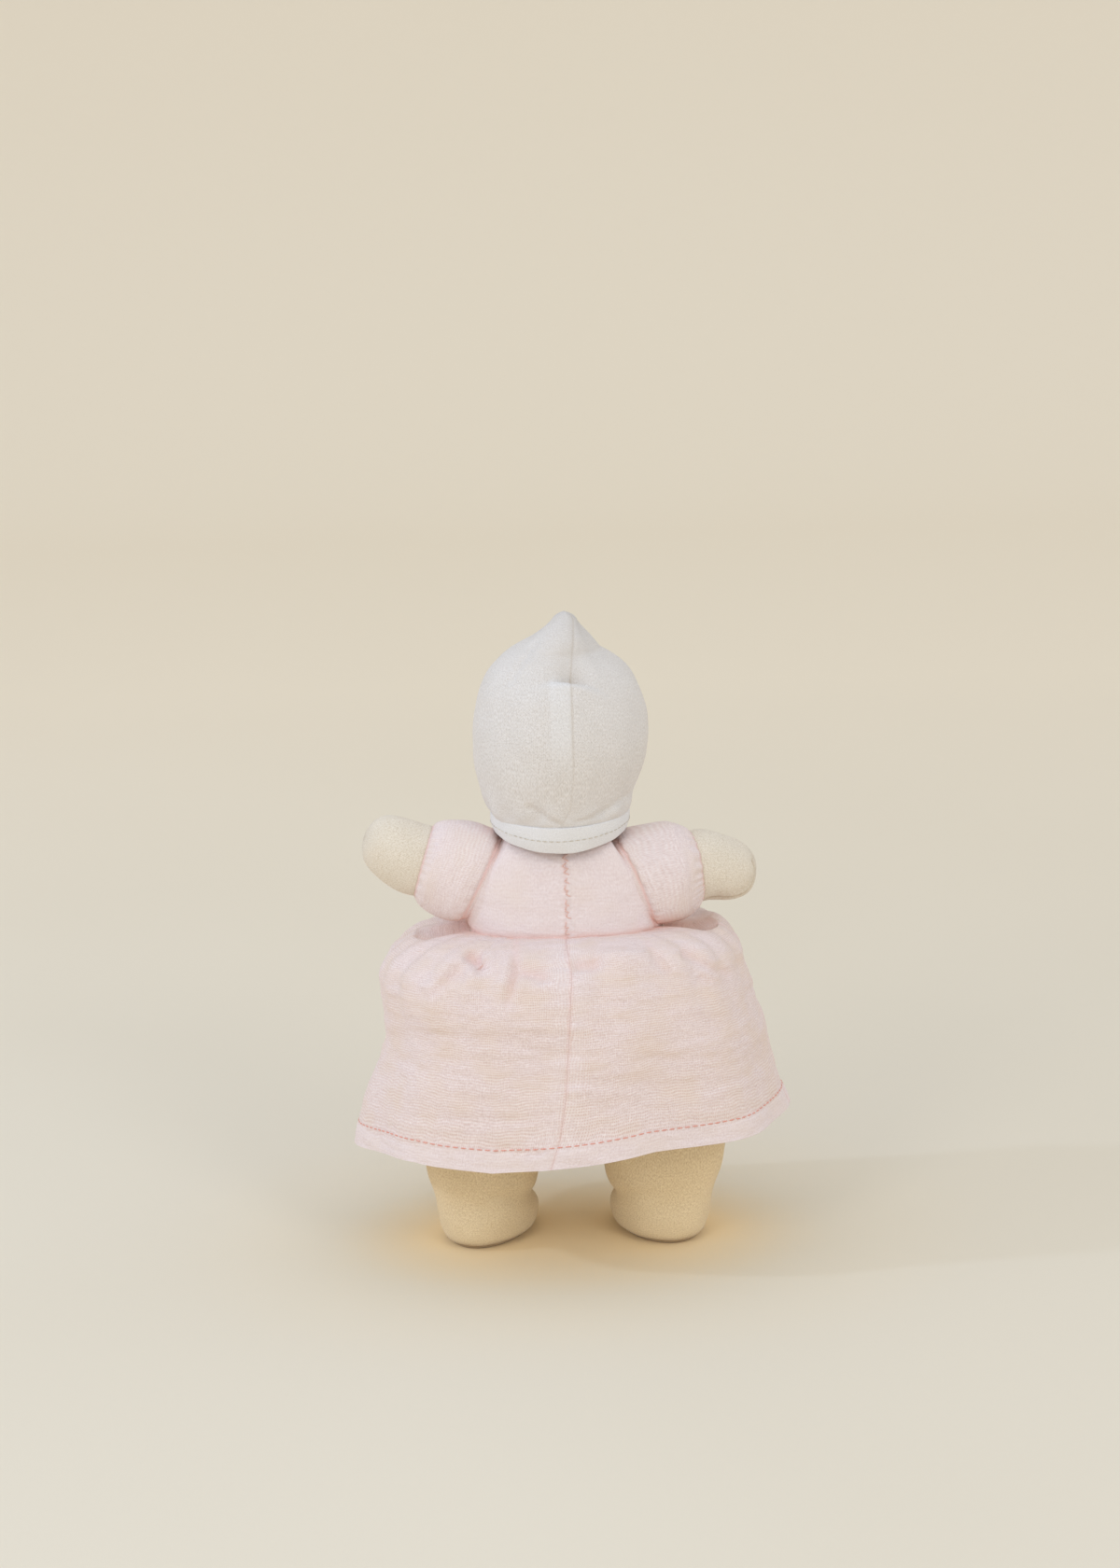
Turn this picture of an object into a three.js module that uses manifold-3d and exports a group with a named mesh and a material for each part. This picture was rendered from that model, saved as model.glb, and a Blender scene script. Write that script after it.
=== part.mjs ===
// A small soft baby doll: a moulded rubber head in a pixie bonnet on a stuffed cloth body with a skirt.
// Millimetres. The doll faces -Y and stands on z = 0, with its left side at +X.
import * as THREE from 'three';
import { mergeVertices } from 'three/addons/utils/BufferGeometryUtils.js';
import Module from 'manifold-3d';

const wasm = await Module();
wasm.setup();

// Cloth, rubber and clearances
const clothThickness = 0.8;
const bindingThickness = 1.1;
const rubberThickness = 2.2;
const threadThickness = 0.7;
const seamGap = 0.3;
const jointGap = 0.3;

// Legs, heights counted down from the hip pivot
const hipHeight = 62;
const hipSpacing = 69;
const hipRadius = 19;
const thighHalfWidth = 22;
const thighDrop = 24;
const ankleRadius = 16.3;
const ankleDrop = 44;
const footHalfWidth = 18.8;
const heelDepth = 19.5;
const toeDepth = 29.5;
const toeTurn = 22;

// Torso: each height is counted from the one before it, with its half width and depth
const seatAboveHip = 8.5;
const seatHalfWidth = 43.5;
const seatDepth = 25;
const bellyAboveSeat = 30.5;
const bellyHalfWidth = 40;
const bellyDepth = 27;
const waistAboveBelly = 22.5;
const waistHalfWidth = 36.4;
const waistDepth = 22;
const shoulderAboveWaist = 18.3;
const chestHalfWidth = 33.8;
const chestDepth = 21;
const slopeAboveShoulder = 8.2;
const shoulderSlopeHalfWidth = 29.5;
const neckEdgeAboveSlope = 8.8;
const neckEdgeRadius = 14.2;
const torsoFullness = 0.74;
const seatHeight = hipHeight + seatAboveHip;
const bellyHeight = seatHeight + bellyAboveSeat;
const waistHeight = bellyHeight + waistAboveBelly;
const shoulderHeight = waistHeight + shoulderAboveWaist;
const shoulderSlopeHeight = shoulderHeight + slopeAboveShoulder;
const neckEdgeHeight = shoulderSlopeHeight + neckEdgeAboveSlope;

// Arms, lengths along the arm counted from the shoulder pivot
const shoulderSpacing = 60.6;
const shoulderRadius = 17.1;
const sleevePuffRadius = 18.4;
const sleevePuffDistance = 11;
const leftSleeveLength = 22;
const rightSleeveLength = 17.5;
const cuffRadius = 13.1;
const handRadius = 12.6;
const handLength = 24;
const armFlatness = 0.82;
const leftArmRise = 16.5;
const leftArmSweep = 3;
const rightArmRise = 8;
const rightArmSweep = 15;

// Skirt: the puff hangs below the waist, and the hem below the puff
const puffBelowWaist = 10;
const puffHalfWidth = 65.2;
const puffDepth = 46;
const hemBelowPuff = 69.5;
const hemHalfWidth = 81.2;
const hemDepth = 54.5;
const hemTilt = 3;
const gatherCount = 12;
const gatherDepth = 1.9;
const hemWaveCount = 8;
const hemWaveDepth = 2;
const hemFullness = 0.92;
const armValleyDepth = 6.5;
const armValleyWidth = 0.36;
const puffHeight = waistHeight - puffBelowWaist;
const hemHeight = puffHeight - hemBelowPuff;

// Neck and head: the pivot lies just under the neck's edge, and each height is counted from the one before
const pivotBelowNeckEdge = 1.3;
const neckRadius = 11;
const neckRise = 6.7;
const chinAboveNeck = 3.8;
const templeAboveChin = 25;
const headHalfWidth = 30.8;
const headDepth = 30;
const crownRise = 32.5;
const neckHeight = neckEdgeHeight - pivotBelowNeckEdge;
const neckTop = neckHeight + neckRise;
const chinHeight = neckTop + chinAboveNeck;
const headHeight = chinHeight + templeAboveChin;
const crownHeight = headHeight + crownRise;

// Face: heights of its swellings, counted from the widest level of the head
const browRise = 5;
const eyeDrop = 2.5;
const noseDrop = 7.5;
const cheekDrop = 10.5;
const mouthDrop = 15;
const chinDrop = 21.5;

// Bonnet
const bonnetEase = 0.8;
const pointRise = 17.5;
const pointBack = 8;
const bonnetHemBelowChin = 7.8;
const jawRise = 7;
const faceBandWidth = 7;
const faceBandStandOut = 0.4;
const faceEdgeForward = 12;
const faceEdgeBelowChin = 3;
const faceEdgeSlope = 17.5;
const napeBandRadius = 23.6;
const napeBandHeight = 10;
const napeBandBelowPivot = 1.5;
const napeBandSideRise = 4;
const napeBandFrontRise = 2;
const napeBandNarrowing = 3;
const napeBandFlare = 2;
const napeBandFrontIn = 3;
const bonnetPointHeight = crownHeight + pointRise;
const napeBandLow = neckHeight - napeBandBelowPivot;

// Closing stitches at the centre back
const stitchCount = 9;
const stitchHalfWidth = 1.5;
const stitchMargin = 4;

// Sides of the rings that each form is made of
const armAround = 12;
const legAround = 14;
const neckAround = 12;
const headAround = 24;
const hollowAround = 12;
const torsoAround = 20;
const socketAround = 12;
const skirtAround = 48;

const fullTurn = 2 * Math.PI;
const radians = THREE.MathUtils.degToRad;
const sides = [{ name: 'left', sign: 1 }, { name: 'right', sign: -1 }];

// Finishes
const finish = (color, roughness) => new THREE.MeshStandardMaterial({ color, roughness, metalness: 0 });
const pinkMuslin = () => finish('#e6d0ca', 0.95);
const creamJersey = () => finish('#d9cbae', 0.95);
const whiteJersey = () => finish('#dedbd6', 0.95);
const rubber = () => finish('#e6bfa3', 0.55);
const stuffing = () => finish('#f1efe9', 1);
const pinkThread = () => finish('#e3a79f', 0.8);
const whiteThread = () => finish('#efece6', 0.8);

// A reader of smooth values through a list of stations, at t from 0 to 1.
function through(stations) {
  const curves = stations[0].map((_, column) => new THREE.SplineCurve(
    stations.map((station, i) => new THREE.Vector2(i, station[column]))));
  return (t) => curves.map((curve) => curve.getPoint(t).y);
}

// A form of oval rings. A station is height, half width, reach to the back and reach to the front.
// Fullness squares the ovals: 1 is an ellipse, and less is fuller at the corners.
function ovalForm(stations, { lowest = -Infinity, fullness = () => 1 } = {}) {
  const read = through(stations);
  return (turn, t) => {
    const full = (value) => Math.sign(value) * Math.abs(value) ** fullness(t);
    const [height, halfWidth, back, front] = read(t);
    const middle = (back - front) / 2;
    const halfDepth = Math.max((back + front) / 2, 0);
    return new THREE.Vector3(
      Math.max(halfWidth, 0) * full(Math.cos(turn)),
      middle + halfDepth * full(Math.sin(turn)),
      Math.max(height, lowest));
  };
}

// A round form. A station is height and radius.
const roundStations = (stations) => stations.map(([height, radius]) => [height, radius, radius, radius]);
const roundForm = (stations) => ovalForm(roundStations(stations));

// Stations of a ball's cap, from its pole to its widest ring or back.
function ballCap(radius, count, pole) {
  return Array.from({ length: count }, (_, i) => {
    const angle = (i / count) * (Math.PI / 2);
    return [pole * radius * Math.cos(angle), radius * Math.sin(angle)];
  });
}

// The form moved inwards by a depth, square to itself. Forms are written from low to high.
function inset(form, depth) {
  const step = 1e-3;
  return (turn, t) => {
    const inner = Math.min(Math.max(t, 2 * step), 1 - 2 * step);
    const across = form(turn + step, inner).sub(form(turn - step, inner));
    const along = form(turn, inner + step).sub(form(turn, inner - step));
    return form(turn, t).addScaledVector(across.cross(along).normalize(), -depth);
  };
}

// Evenly spread levels, and a form's rings of points at such levels.
function spread(from, to, count) {
  return Array.from({ length: count + 1 }, (_, i) => from + ((to - from) * i) / count);
}

const ringsOf = (form, around, levels) => levels.map((t) => (
  Array.from({ length: around }, (_, i) => form((fullTurn * i) / around, t))));

// A closed surface over rings of points, ending in caps or joining its last ring to its first.
function surfaceOver(rings, joined) {
  const around = rings[0].length;
  const points = rings.flat();
  const faces = [];
  const count = joined ? rings.length : rings.length - 1;
  for (let level = 0; level < count; level += 1) {
    const low = level * around;
    const high = ((level + 1) % rings.length) * around;
    for (let i = 0; i < around; i += 1) {
      const next = (i + 1) % around;
      faces.push(low + i, low + next, high + next, low + i, high + next, high + i);
    }
  }
  if (!joined) {
    [0, rings.length - 1].forEach((level) => {
      const ring = rings[level];
      const middle = ring.reduce((sum, point) => sum.add(point), new THREE.Vector3()).divideScalar(around);
      const hub = points.push(middle) - 1;
      for (let i = 0; i < around; i += 1) {
        const edge = [level * around + i, level * around + ((i + 1) % around)];
        faces.push(hub, ...(level === 0 ? edge.reverse() : edge));
      }
    });
  }
  const geometry = new THREE.BufferGeometry().setFromPoints(points);
  geometry.setIndex(faces);
  return closed(geometry);
}

// Shared vertices merged, faces without area dropped, and the faces turned to point out.
function closed(source) {
  const geometry = source.clone();
  geometry.deleteAttribute('normal');
  geometry.deleteAttribute('uv');
  const merged = mergeVertices(geometry, 1e-3);
  const corners = merged.index.array;
  const place = merged.attributes.position;
  const kept = [];
  let volume = 0;
  for (let i = 0; i < corners.length; i += 3) {
    const [a, b, c] = [corners[i], corners[i + 1], corners[i + 2]];
    if (a !== b && b !== c && c !== a) {
      kept.push([a, b, c]);
      const [p, q, r] = [a, b, c].map((k) => new THREE.Vector3().fromBufferAttribute(place, k));
      volume += p.dot(q.cross(r));
    }
  }
  merged.setIndex(kept.flatMap(([a, b, c]) => (volume > 0 ? [a, b, c] : [a, c, b])));
  return merged;
}

// A filled form, and a cloth casing of a form, which may be open at its low and high ends.
const filled = (form, around, levels) => surfaceOver(ringsOf(form, around, levels), false);
const openBoth = { openLow: true, openHigh: true };

function casing(form, thickness, around, levels, { openLow = false, openHigh = false }) {
  const outer = ringsOf(form, around, levels);
  const inner = ringsOf(inset(form, thickness), around, levels);
  if (openLow && openHigh) return surfaceOver([...outer, ...inner.reverse()], true);
  if (openHigh) return surfaceOver([...inner, ...outer.reverse()], false);
  return surfaceOver([...inner.reverse(), ...outer], false);
}

// Cutting and joining
function solidOf(geometry, matrix = new THREE.Matrix4()) {
  const placed = closed(geometry).applyMatrix4(matrix);
  return new wasm.Manifold(new wasm.Mesh({
    numProp: 3,
    vertProperties: new Float32Array(placed.attributes.position.array),
    triVerts: new Uint32Array(placed.index.array),
  }));
}

function geometryOf(solid) {
  const mesh = solid.getMesh();
  const geometry = new THREE.BufferGeometry();
  geometry.setAttribute('position', new THREE.BufferAttribute(new Float32Array(mesh.vertProperties), 3));
  geometry.setIndex([...mesh.triVerts]);
  return geometry;
}

const without = (solid, cutters) => cutters.reduce((rest, cutter) => rest.subtract(cutter), solid);

// A block between two corners.
function block(low, high) {
  const size = high.map((value, axis) => value - low[axis]);
  const geometry = new THREE.BoxGeometry(...size);
  geometry.translate(...low.map((value, axis) => value + size[axis] / 2));
  return geometry;
}

const reach = 2 * bonnetPointHeight;
const frontHalf = solidOf(block([-reach, -reach, -reach], [reach, -seamGap / 2, reach]));
const quarter = (sign) => solidOf(block(
  [sign > 0 ? seamGap / 2 : -reach, seamGap / 2, -reach],
  [sign > 0 ? reach : -seamGap / 2, reach, reach]));
const backQuarters = sides.map(({ sign }) => quarter(sign));
const sideHalves = sides.map(({ sign }) => solidOf(block(
  [sign > 0 ? seamGap / 2 : -reach, -reach, -reach],
  [sign > 0 ? reach : -seamGap / 2, reach, reach])));

// Parts are collected in groups, which place them.
const doll = new THREE.Group();

function add(parent, name, geometry, material) {
  const mesh = new THREE.Mesh(geometry, material);
  mesh.geometry.computeVertexNormals();
  mesh.name = name;
  parent.add(mesh);
  return mesh;
}

// Arms: round forms along their own z axis, from the root inside the shoulder to the hand's tip.
function armForms(sleeveLength) {
  const armLength = sleeveLength + handLength;
  const stations = [
    ...ballCap(shoulderRadius, 5, -1),
    [0, shoulderRadius],
    [shoulderRadius * 0.31, shoulderRadius * 0.95],
    [sleevePuffDistance, sleevePuffRadius],
    [(sleevePuffDistance * 2 + sleeveLength) / 3, sleevePuffRadius * 0.95],
    [(sleevePuffDistance + 3 * sleeveLength) / 4, sleevePuffRadius * 0.4 + cuffRadius * 0.6],
    [sleeveLength, cuffRadius],
    [(sleeveLength * 2 + armLength) / 3, handRadius],
    [armLength - handRadius * 0.85, handRadius],
    [armLength - handRadius * 0.36, handRadius * 0.8],
    [armLength - handRadius * 0.09, handRadius * 0.42],
    [armLength, 0],
  ].map(([along, radius]) => [along, radius, radius * armFlatness, radius * armFlatness]);
  const span = stations.length - 1;
  const cuffLevel = 10 / span;
  const cuffStep = (stations[11][0] - stations[9][0]) / 2;
  const halfGap = seamGap / 2 / (cuffStep * span);
  return {
    form: ovalForm(stations),
    sleeveLevels: spread(1.6 / span, cuffLevel - halfGap, 7),
    handLevels: spread(cuffLevel + halfGap, 1, 5),
  };
}

function makeArm({ name, sign }, sleeveLength, rise, sweep) {
  const shoulder = new THREE.Group();
  shoulder.position.set((sign * shoulderSpacing) / 2, 0, shoulderHeight);
  shoulder.rotation.set(0, sign * radians(90 - rise), -sign * radians(sweep), 'ZYX');
  doll.add(shoulder);
  const { form, sleeveLevels, handLevels } = armForms(sleeveLength);
  add(shoulder, `${name}_sleeve`, casing(form, clothThickness, armAround, sleeveLevels, openBoth),
    pinkMuslin());
  add(shoulder, `${name}_hand_cover`,
    casing(form, clothThickness, armAround, handLevels, { openLow: true }), creamJersey());
  const fillingForm = inset(form, clothThickness + seamGap);
  add(shoulder, `${name}_arm_filling`,
    filled(fillingForm, armAround, [0, ...sleeveLevels, ...handLevels]), stuffing());
  return shoulder;
}

const shoulders = [
  makeArm(sides[0], leftSleeveLength, leftArmRise, leftArmSweep),
  makeArm(sides[1], rightSleeveLength, rightArmRise, rightArmSweep),
];

// Legs: from the flat sole up to a ball in the hip, with the foot pushed forward.
const sole = -hipHeight;
const legStations = [
  [sole - 0.5, 0, -3, 3],
  [sole - 0.5, footHalfWidth * 0.78, heelDepth * 0.8, toeDepth * 0.84],
  [sole + 2, footHalfWidth * 0.97, heelDepth * 0.97, toeDepth * 0.98],
  [sole + 6.5, footHalfWidth, heelDepth, toeDepth],
  [(2 * sole - 3 * ankleDrop) / 5, (footHalfWidth + ankleRadius) / 2, (heelDepth + ankleRadius) / 2,
    toeDepth * 0.8],
  [-ankleDrop, ankleRadius, ankleRadius * 0.95, ankleRadius * 1.08],
  [-(ankleDrop + thighDrop) / 2, (ankleRadius + thighHalfWidth) / 2 + 1, hipRadius * 0.98, hipRadius],
  [-thighDrop, thighHalfWidth, hipRadius + 0.6, hipRadius + 0.6],
  [-thighDrop / 2, (thighHalfWidth + hipRadius) / 2, hipRadius + 0.2, hipRadius + 0.2],
  ...roundStations([[0, hipRadius], ...ballCap(hipRadius, 5, 1).reverse()]),
];
const legForm = ovalForm(legStations, { lowest: sole });
const legLevels = spread(0, 1 - 1.5 / (legStations.length - 1), 11);

function makeLeg({ name, sign }) {
  const hip = new THREE.Group();
  hip.position.set((sign * hipSpacing) / 2, 0, hipHeight);
  hip.rotation.z = -sign * radians(toeTurn);
  doll.add(hip);
  add(hip, `${name}_leg_cover`,
    casing(legForm, clothThickness, legAround, legLevels, { openHigh: true }), creamJersey());
  add(hip, `${name}_leg_filling`,
    filled(inset(legForm, clothThickness + seamGap), legAround, [...legLevels, 1]), stuffing());
  return hip;
}

const hips = sides.map(makeLeg);

// Neck: a stuffed ball in the top of the torso, and the casing tied round the head's neck.
const neckGroup = new THREE.Group();
neckGroup.position.z = neckHeight;
doll.add(neckGroup);
const tiedRadius = neckRadius - 0.6;
const neckStations = [
  ...ballCap(neckRadius, 5, -1),
  [0, neckRadius],
  [neckRise * 0.4, neckRadius - 0.4],
  [neckRise * 0.75, tiedRadius],
  [neckRise, neckRadius],
];
const neckForm = roundForm(neckStations);
const headNeckRadius = tiedRadius - clothThickness - 2 * seamGap;
const neckLevels = spread(0, 1, neckStations.length - 1);
add(neckGroup, 'neck_casing', casing(neckForm, clothThickness, neckAround, neckLevels, { openHigh: true }),
  creamJersey());
add(neckGroup, 'neck_filling',
  filled(inset(neckForm, clothThickness + seamGap), neckAround, neckLevels.slice(0, -2)), stuffing());
const neckTie = new THREE.TorusGeometry(tiedRadius + seamGap + threadThickness, threadThickness, 6, 18);
neckTie.translate(0, 0, neckRise * 0.75);
add(neckGroup, 'neck_tie', closed(neckTie), whiteThread());

// Head: a hollow rubber shell with its neck held in the casing.
const headStations = [
  [neckHeight + neckRise * 0.4 + 3 * seamGap, headNeckRadius, headNeckRadius, headNeckRadius],
  [neckTop + seamGap, headNeckRadius, headNeckRadius, headNeckRadius],
  [neckTop + 2, headHalfWidth * 0.46, headDepth * 0.44, headDepth * 0.56],
  [chinHeight, headHalfWidth * 0.66, headDepth * 0.6, headDepth * 0.8],
  [chinHeight + jawRise, headHalfWidth * 0.87, headDepth * 0.82, headDepth * 0.93],
  [(chinHeight + jawRise + headHeight) / 2, headHalfWidth * 0.975, headDepth * 0.955, headDepth * 0.96],
  [headHeight, headHalfWidth, headDepth, headDepth * 0.95],
  [headHeight + crownRise * 0.42, headHalfWidth * 0.925, headDepth * 0.935, headDepth * 0.92],
  [headHeight + crownRise * 0.71, headHalfWidth * 0.755, headDepth * 0.755, headDepth * 0.78],
  [headHeight + crownRise * 0.9, headHalfWidth * 0.48, headDepth * 0.5, headDepth * 0.52],
  [crownHeight, 0, 0, 0],
];
const roundHead = ovalForm(headStations);

// Face: soft swellings and hollows on the front, as side, height, reach, width and tallness of each.
const faceForms = [
  [0, headHeight - noseDrop, 4.2, 3.2, 3.4],
  [8.5, headHeight - eyeDrop, -1.6, 5, 4],
  [13, headHeight - cheekDrop, 1.8, 6.5, 6],
  [0, headHeight - mouthDrop, 1.2, 5, 2.4],
  [0, headHeight - chinDrop, 1.6, 5, 3],
  [0, headHeight + browRise, 0.4, 10, 5],
];

function headForm(turn, t) {
  const point = roundHead(turn, t);
  if (point.y < 0) {
    faceForms.forEach(([side, height, out, width, tallness]) => {
      const sideways = (Math.abs(point.x) - side) / width;
      const upwards = (point.z - height) / tallness;
      point.y -= out * Math.exp(-(sideways ** 2) - upwards ** 2);
    });
  }
  return point;
}

const headOuter = solidOf(filled(headForm, headAround, spread(0, 1, 20)));
const hollowLevels = spread(0.1, 0.985, 7);
const headHollow = solidOf(filled(inset(roundHead, rubberThickness), hollowAround, hollowLevels));
const neckMouth = solidOf(filled(roundForm([
  [neckHeight - neckRise, headNeckRadius - rubberThickness],
  [neckTop + 2 * rubberThickness, headNeckRadius - rubberThickness],
]), hollowAround, [0, 1]));
const headGroup = new THREE.Group();
doll.add(headGroup);
add(headGroup, 'head_shell', geometryOf(without(headOuter, [headHollow, neckMouth])), rubber());

// Bonnet: the head's form with some ease, drawn up to a soft point at the back of the crown.
const over = bonnetEase + clothThickness;
const onHead = (level) => {
  const [height, halfWidth, back, front] = headStations[level];
  return [height, halfWidth + over, back + over, front + over];
};
const underBand = napeBandRadius - bindingThickness - 2 * seamGap;
const bonnetStations = [
  [chinHeight - bonnetHemBelowChin, underBand, underBand, underBand - napeBandFrontIn],
  [chinHeight, underBand + napeBandFlare * 0.8, underBand + napeBandFlare * 0.8, underBand - 0.5],
  [chinHeight + jawRise * 6 / 7, headHalfWidth * 0.885 + over,
    headDepth * 0.84 + over, headDepth * 0.92 + over],
  onHead(5),
  onHead(6),
  onHead(7),
  [headStations[8][0] + 0.5, headHalfWidth * 0.83, headDepth * 0.88, headDepth * 0.83],
  [headStations[9][0] + 0.5, headHalfWidth * 0.68, headDepth * 0.715, headDepth * 0.74],
  [crownHeight + pointRise * 0.15, headHalfWidth * 0.5, headDepth * 0.68, headDepth * 0.5],
  [crownHeight + pointRise * 0.45, headHalfWidth * 0.29, headDepth * 0.58, headDepth * 0.2],
  [crownHeight + pointRise * 0.8, headHalfWidth * 0.13, headDepth * 0.4, -headDepth * 0.1],
  [bonnetPointHeight, 0, pointBack, -pointBack],
];
const bonnetForm = ovalForm(bonnetStations);

// The face opening's edge is a slanted plane: its front side is cut away, and the band lies behind it.
function beforeFace(distance) {
  const cutter = block([-reach, -reach, -reach], [reach, distance, reach]);
  cutter.rotateX(radians(faceEdgeSlope));
  cutter.translate(0, -faceEdgeForward, chinHeight - faceEdgeBelowChin);
  return solidOf(cutter);
}

const bonnetLevels = spread(0, 1, 14);
const hood = (form, thickness) => solidOf(
  casing(form, thickness, headAround, bonnetLevels, { openLow: true }));
const bonnetBack = hood(bonnetForm, clothThickness).subtract(beforeFace(faceBandWidth + seamGap));
sides.forEach(({ name }, i) => {
  const panel = bonnetBack.intersect(sideHalves[i]);
  add(headGroup, `bonnet_${name}_panel`, geometryOf(panel), whiteJersey());
});
const faceBand = hood(inset(bonnetForm, -faceBandStandOut), bindingThickness)
  .intersect(beforeFace(faceBandWidth)).subtract(beforeFace(0));
add(headGroup, 'bonnet_face_band', geometryOf(faceBand), whiteJersey());

// Nape band: a doubled strip round the neck, lowest at the back.
function napeForm(turn, t) {
  const sideways = Math.cos(turn) ** 2;
  const forwards = Math.sin(turn) < 0 ? Math.sin(turn) ** 2 : 0;
  const low = napeBandLow + napeBandSideRise * sideways + napeBandFrontRise * forwards;
  const high = napeBandLow + napeBandHeight + (napeBandSideRise - napeBandNarrowing) * sideways
    + (napeBandFrontRise - napeBandNarrowing) * forwards;
  const radius = napeBandRadius + napeBandFlare * t - napeBandFrontIn * forwards;
  return new THREE.Vector3(radius * Math.cos(turn), radius * Math.sin(turn), low + (high - low) * t);
}
add(headGroup, 'bonnet_nape_band', casing(napeForm, bindingThickness, headAround, [0, 1], openBoth),
  whiteJersey());

// Torso
const torsoStations = [
  [seatHeight, 0, 0, 0],
  [seatHeight + 0.5, seatHalfWidth * 0.5, seatDepth * 0.5, seatDepth * 0.5],
  [seatHeight + 4, seatHalfWidth * 0.82, seatDepth * 0.82, seatDepth * 0.84],
  [seatHeight + 12, seatHalfWidth, seatDepth, seatDepth + 1],
  [bellyHeight, bellyHalfWidth, seatDepth, bellyDepth],
  [waistHeight, waistHalfWidth, waistDepth, waistDepth + 2.5],
  [shoulderHeight, chestHalfWidth, chestDepth, chestDepth + 1],
  [shoulderSlopeHeight, shoulderSlopeHalfWidth, chestDepth * 0.93, chestDepth * 0.9],
  [(shoulderSlopeHeight + 2 * neckEdgeHeight) / 3,
    (shoulderSlopeHalfWidth + 2 * neckEdgeRadius) / 3 + 4,
    (chestDepth + neckEdgeRadius) / 2,
    (chestDepth + neckEdgeRadius) / 2 - 1],
  [neckEdgeHeight, neckEdgeRadius + 1.5, neckEdgeRadius, neckEdgeRadius],
];
const torsoForm = ovalForm(torsoStations, {
  fullness: (t) => THREE.MathUtils.lerp(torsoFullness, 1, THREE.MathUtils.smoothstep(t, 0.65, 0.95)),
});
const waistLevel = 5 / (torsoStations.length - 1);

// Sockets: each limb and the neck turn on a ball, which is let into the torso with the joint's gap.
function socket(group, radius, flatness = 1) {
  const flats = Math.cos(Math.PI / socketAround) ** 2;
  const ball = new THREE.SphereGeometry((radius + jointGap) / flats, socketAround, socketAround / 2);
  ball.scale(1, (radius * flatness + jointGap) / (radius + jointGap), 1);
  doll.updateMatrixWorld(true);
  return solidOf(ball, group.matrixWorld);
}

const armSockets = shoulders.map((shoulder) => socket(shoulder, shoulderRadius, armFlatness));
const legSockets = hips.map((hip) => socket(hip, hipRadius));
const neckSocket = socket(neckGroup, neckRadius);

const waistGap = seamGap / 2 / (shoulderHeight - waistHeight) / (torsoStations.length - 1);
const seatLevels = spread(0, waistLevel - waistGap, 6);
const bodiceLevels = spread(waistLevel + waistGap, 1, 5);
const torsoCore = solidOf(filled(inset(torsoForm, clothThickness + seamGap), torsoAround,
  [...seatLevels, ...bodiceLevels]));
const torsoFilling = without(torsoCore, [...armSockets, ...legSockets, neckSocket]);
add(doll, 'torso_filling', geometryOf(torsoFilling), stuffing());

const bodiceCasing = solidOf(casing(torsoForm, clothThickness, torsoAround, bodiceLevels, openBoth));
const bodice = without(bodiceCasing, [...armSockets, neckSocket]);
add(doll, 'bodice_front', geometryOf(bodice.intersect(frontHalf)), pinkMuslin());
sides.forEach(({ name }, i) => {
  add(doll, `bodice_back_${name}`, geometryOf(bodice.intersect(backQuarters[i])), pinkMuslin());
});
const seatCasing = solidOf(casing(torsoForm, clothThickness, torsoAround, seatLevels, { openHigh: true }));
add(doll, 'seat_cover', geometryOf(without(seatCasing, [...legSockets, ...armSockets])), creamJersey());

// Skirt: gathered at the waist, puffed, then falling to a wavy hem, with a valley under each arm.
const skirtTop = waistHeight - seamGap;
const skirtStations = [
  [hemHeight, hemHalfWidth, hemDepth, hemDepth],
  [hemHeight + 16, hemHalfWidth - 3.3, hemDepth - 2.2, hemDepth - 2.2],
  [(hemHeight + puffHeight) / 2 + 6, (hemHalfWidth + puffHalfWidth) / 2 - 3.4,
    (hemDepth + puffDepth) / 2, (hemDepth + puffDepth) / 2],
  [puffHeight - 11, puffHalfWidth + 2.4, puffDepth + 2.6, puffDepth + 2.6],
  [puffHeight, puffHalfWidth, puffDepth, puffDepth],
  [(puffHeight + 2 * skirtTop) / 3 + 1, (2 * puffHalfWidth + waistHalfWidth) / 3,
    (2 * puffDepth + waistDepth) / 3, (2 * puffDepth + waistDepth) / 3 + 1],
  [skirtTop - 0.6, (puffHalfWidth + 2 * waistHalfWidth) / 3,
    (puffDepth + 2 * waistDepth) / 3, (puffDepth + 2 * waistDepth) / 3 + 2],
  [skirtTop, waistHalfWidth + 3 * seamGap, waistDepth + 3 * seamGap, waistDepth + 2.5 + 3 * seamGap],
];
const skirtBase = ovalForm(skirtStations, {
  fullness: (t) => THREE.MathUtils.lerp(hemFullness, torsoFullness, t),
});
const easeFromWaist = (t, rate) => Math.sin(Math.PI * Math.min(1, rate * (1 - t)));

function skirtForm(turn, t) {
  const point = skirtBase(turn, t);
  const gathers = gatherDepth * Math.sin(gatherCount * turn) * easeFromWaist(t, 1.6);
  const waves = hemWaveDepth * Math.sin(hemWaveCount * turn + 1) * (1 - t) ** 2;
  const outwards = 1 + (gathers + waves) / Math.hypot(point.x, point.y);
  const fromSide = Math.sin(turn) / armValleyWidth;
  const valley = armValleyDepth * Math.exp(-(fromSide ** 2)) * easeFromWaist(t, 2.1) ** 0.7;
  const tilt = hemTilt * Math.cos(turn) * (1 - t) ** 2;
  return new THREE.Vector3(point.x * outwards, point.y * outwards, point.z - valley - tilt);
}

const skirt = solidOf(casing(skirtForm, clothThickness, skirtAround, spread(0, 1, 8), openBoth));
add(doll, 'skirt_front', geometryOf(skirt.intersect(frontHalf)), pinkMuslin());
sides.forEach(({ name }, i) => {
  add(doll, `skirt_back_${name}`, geometryOf(skirt.intersect(backQuarters[i])), pinkMuslin());
});

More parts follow.
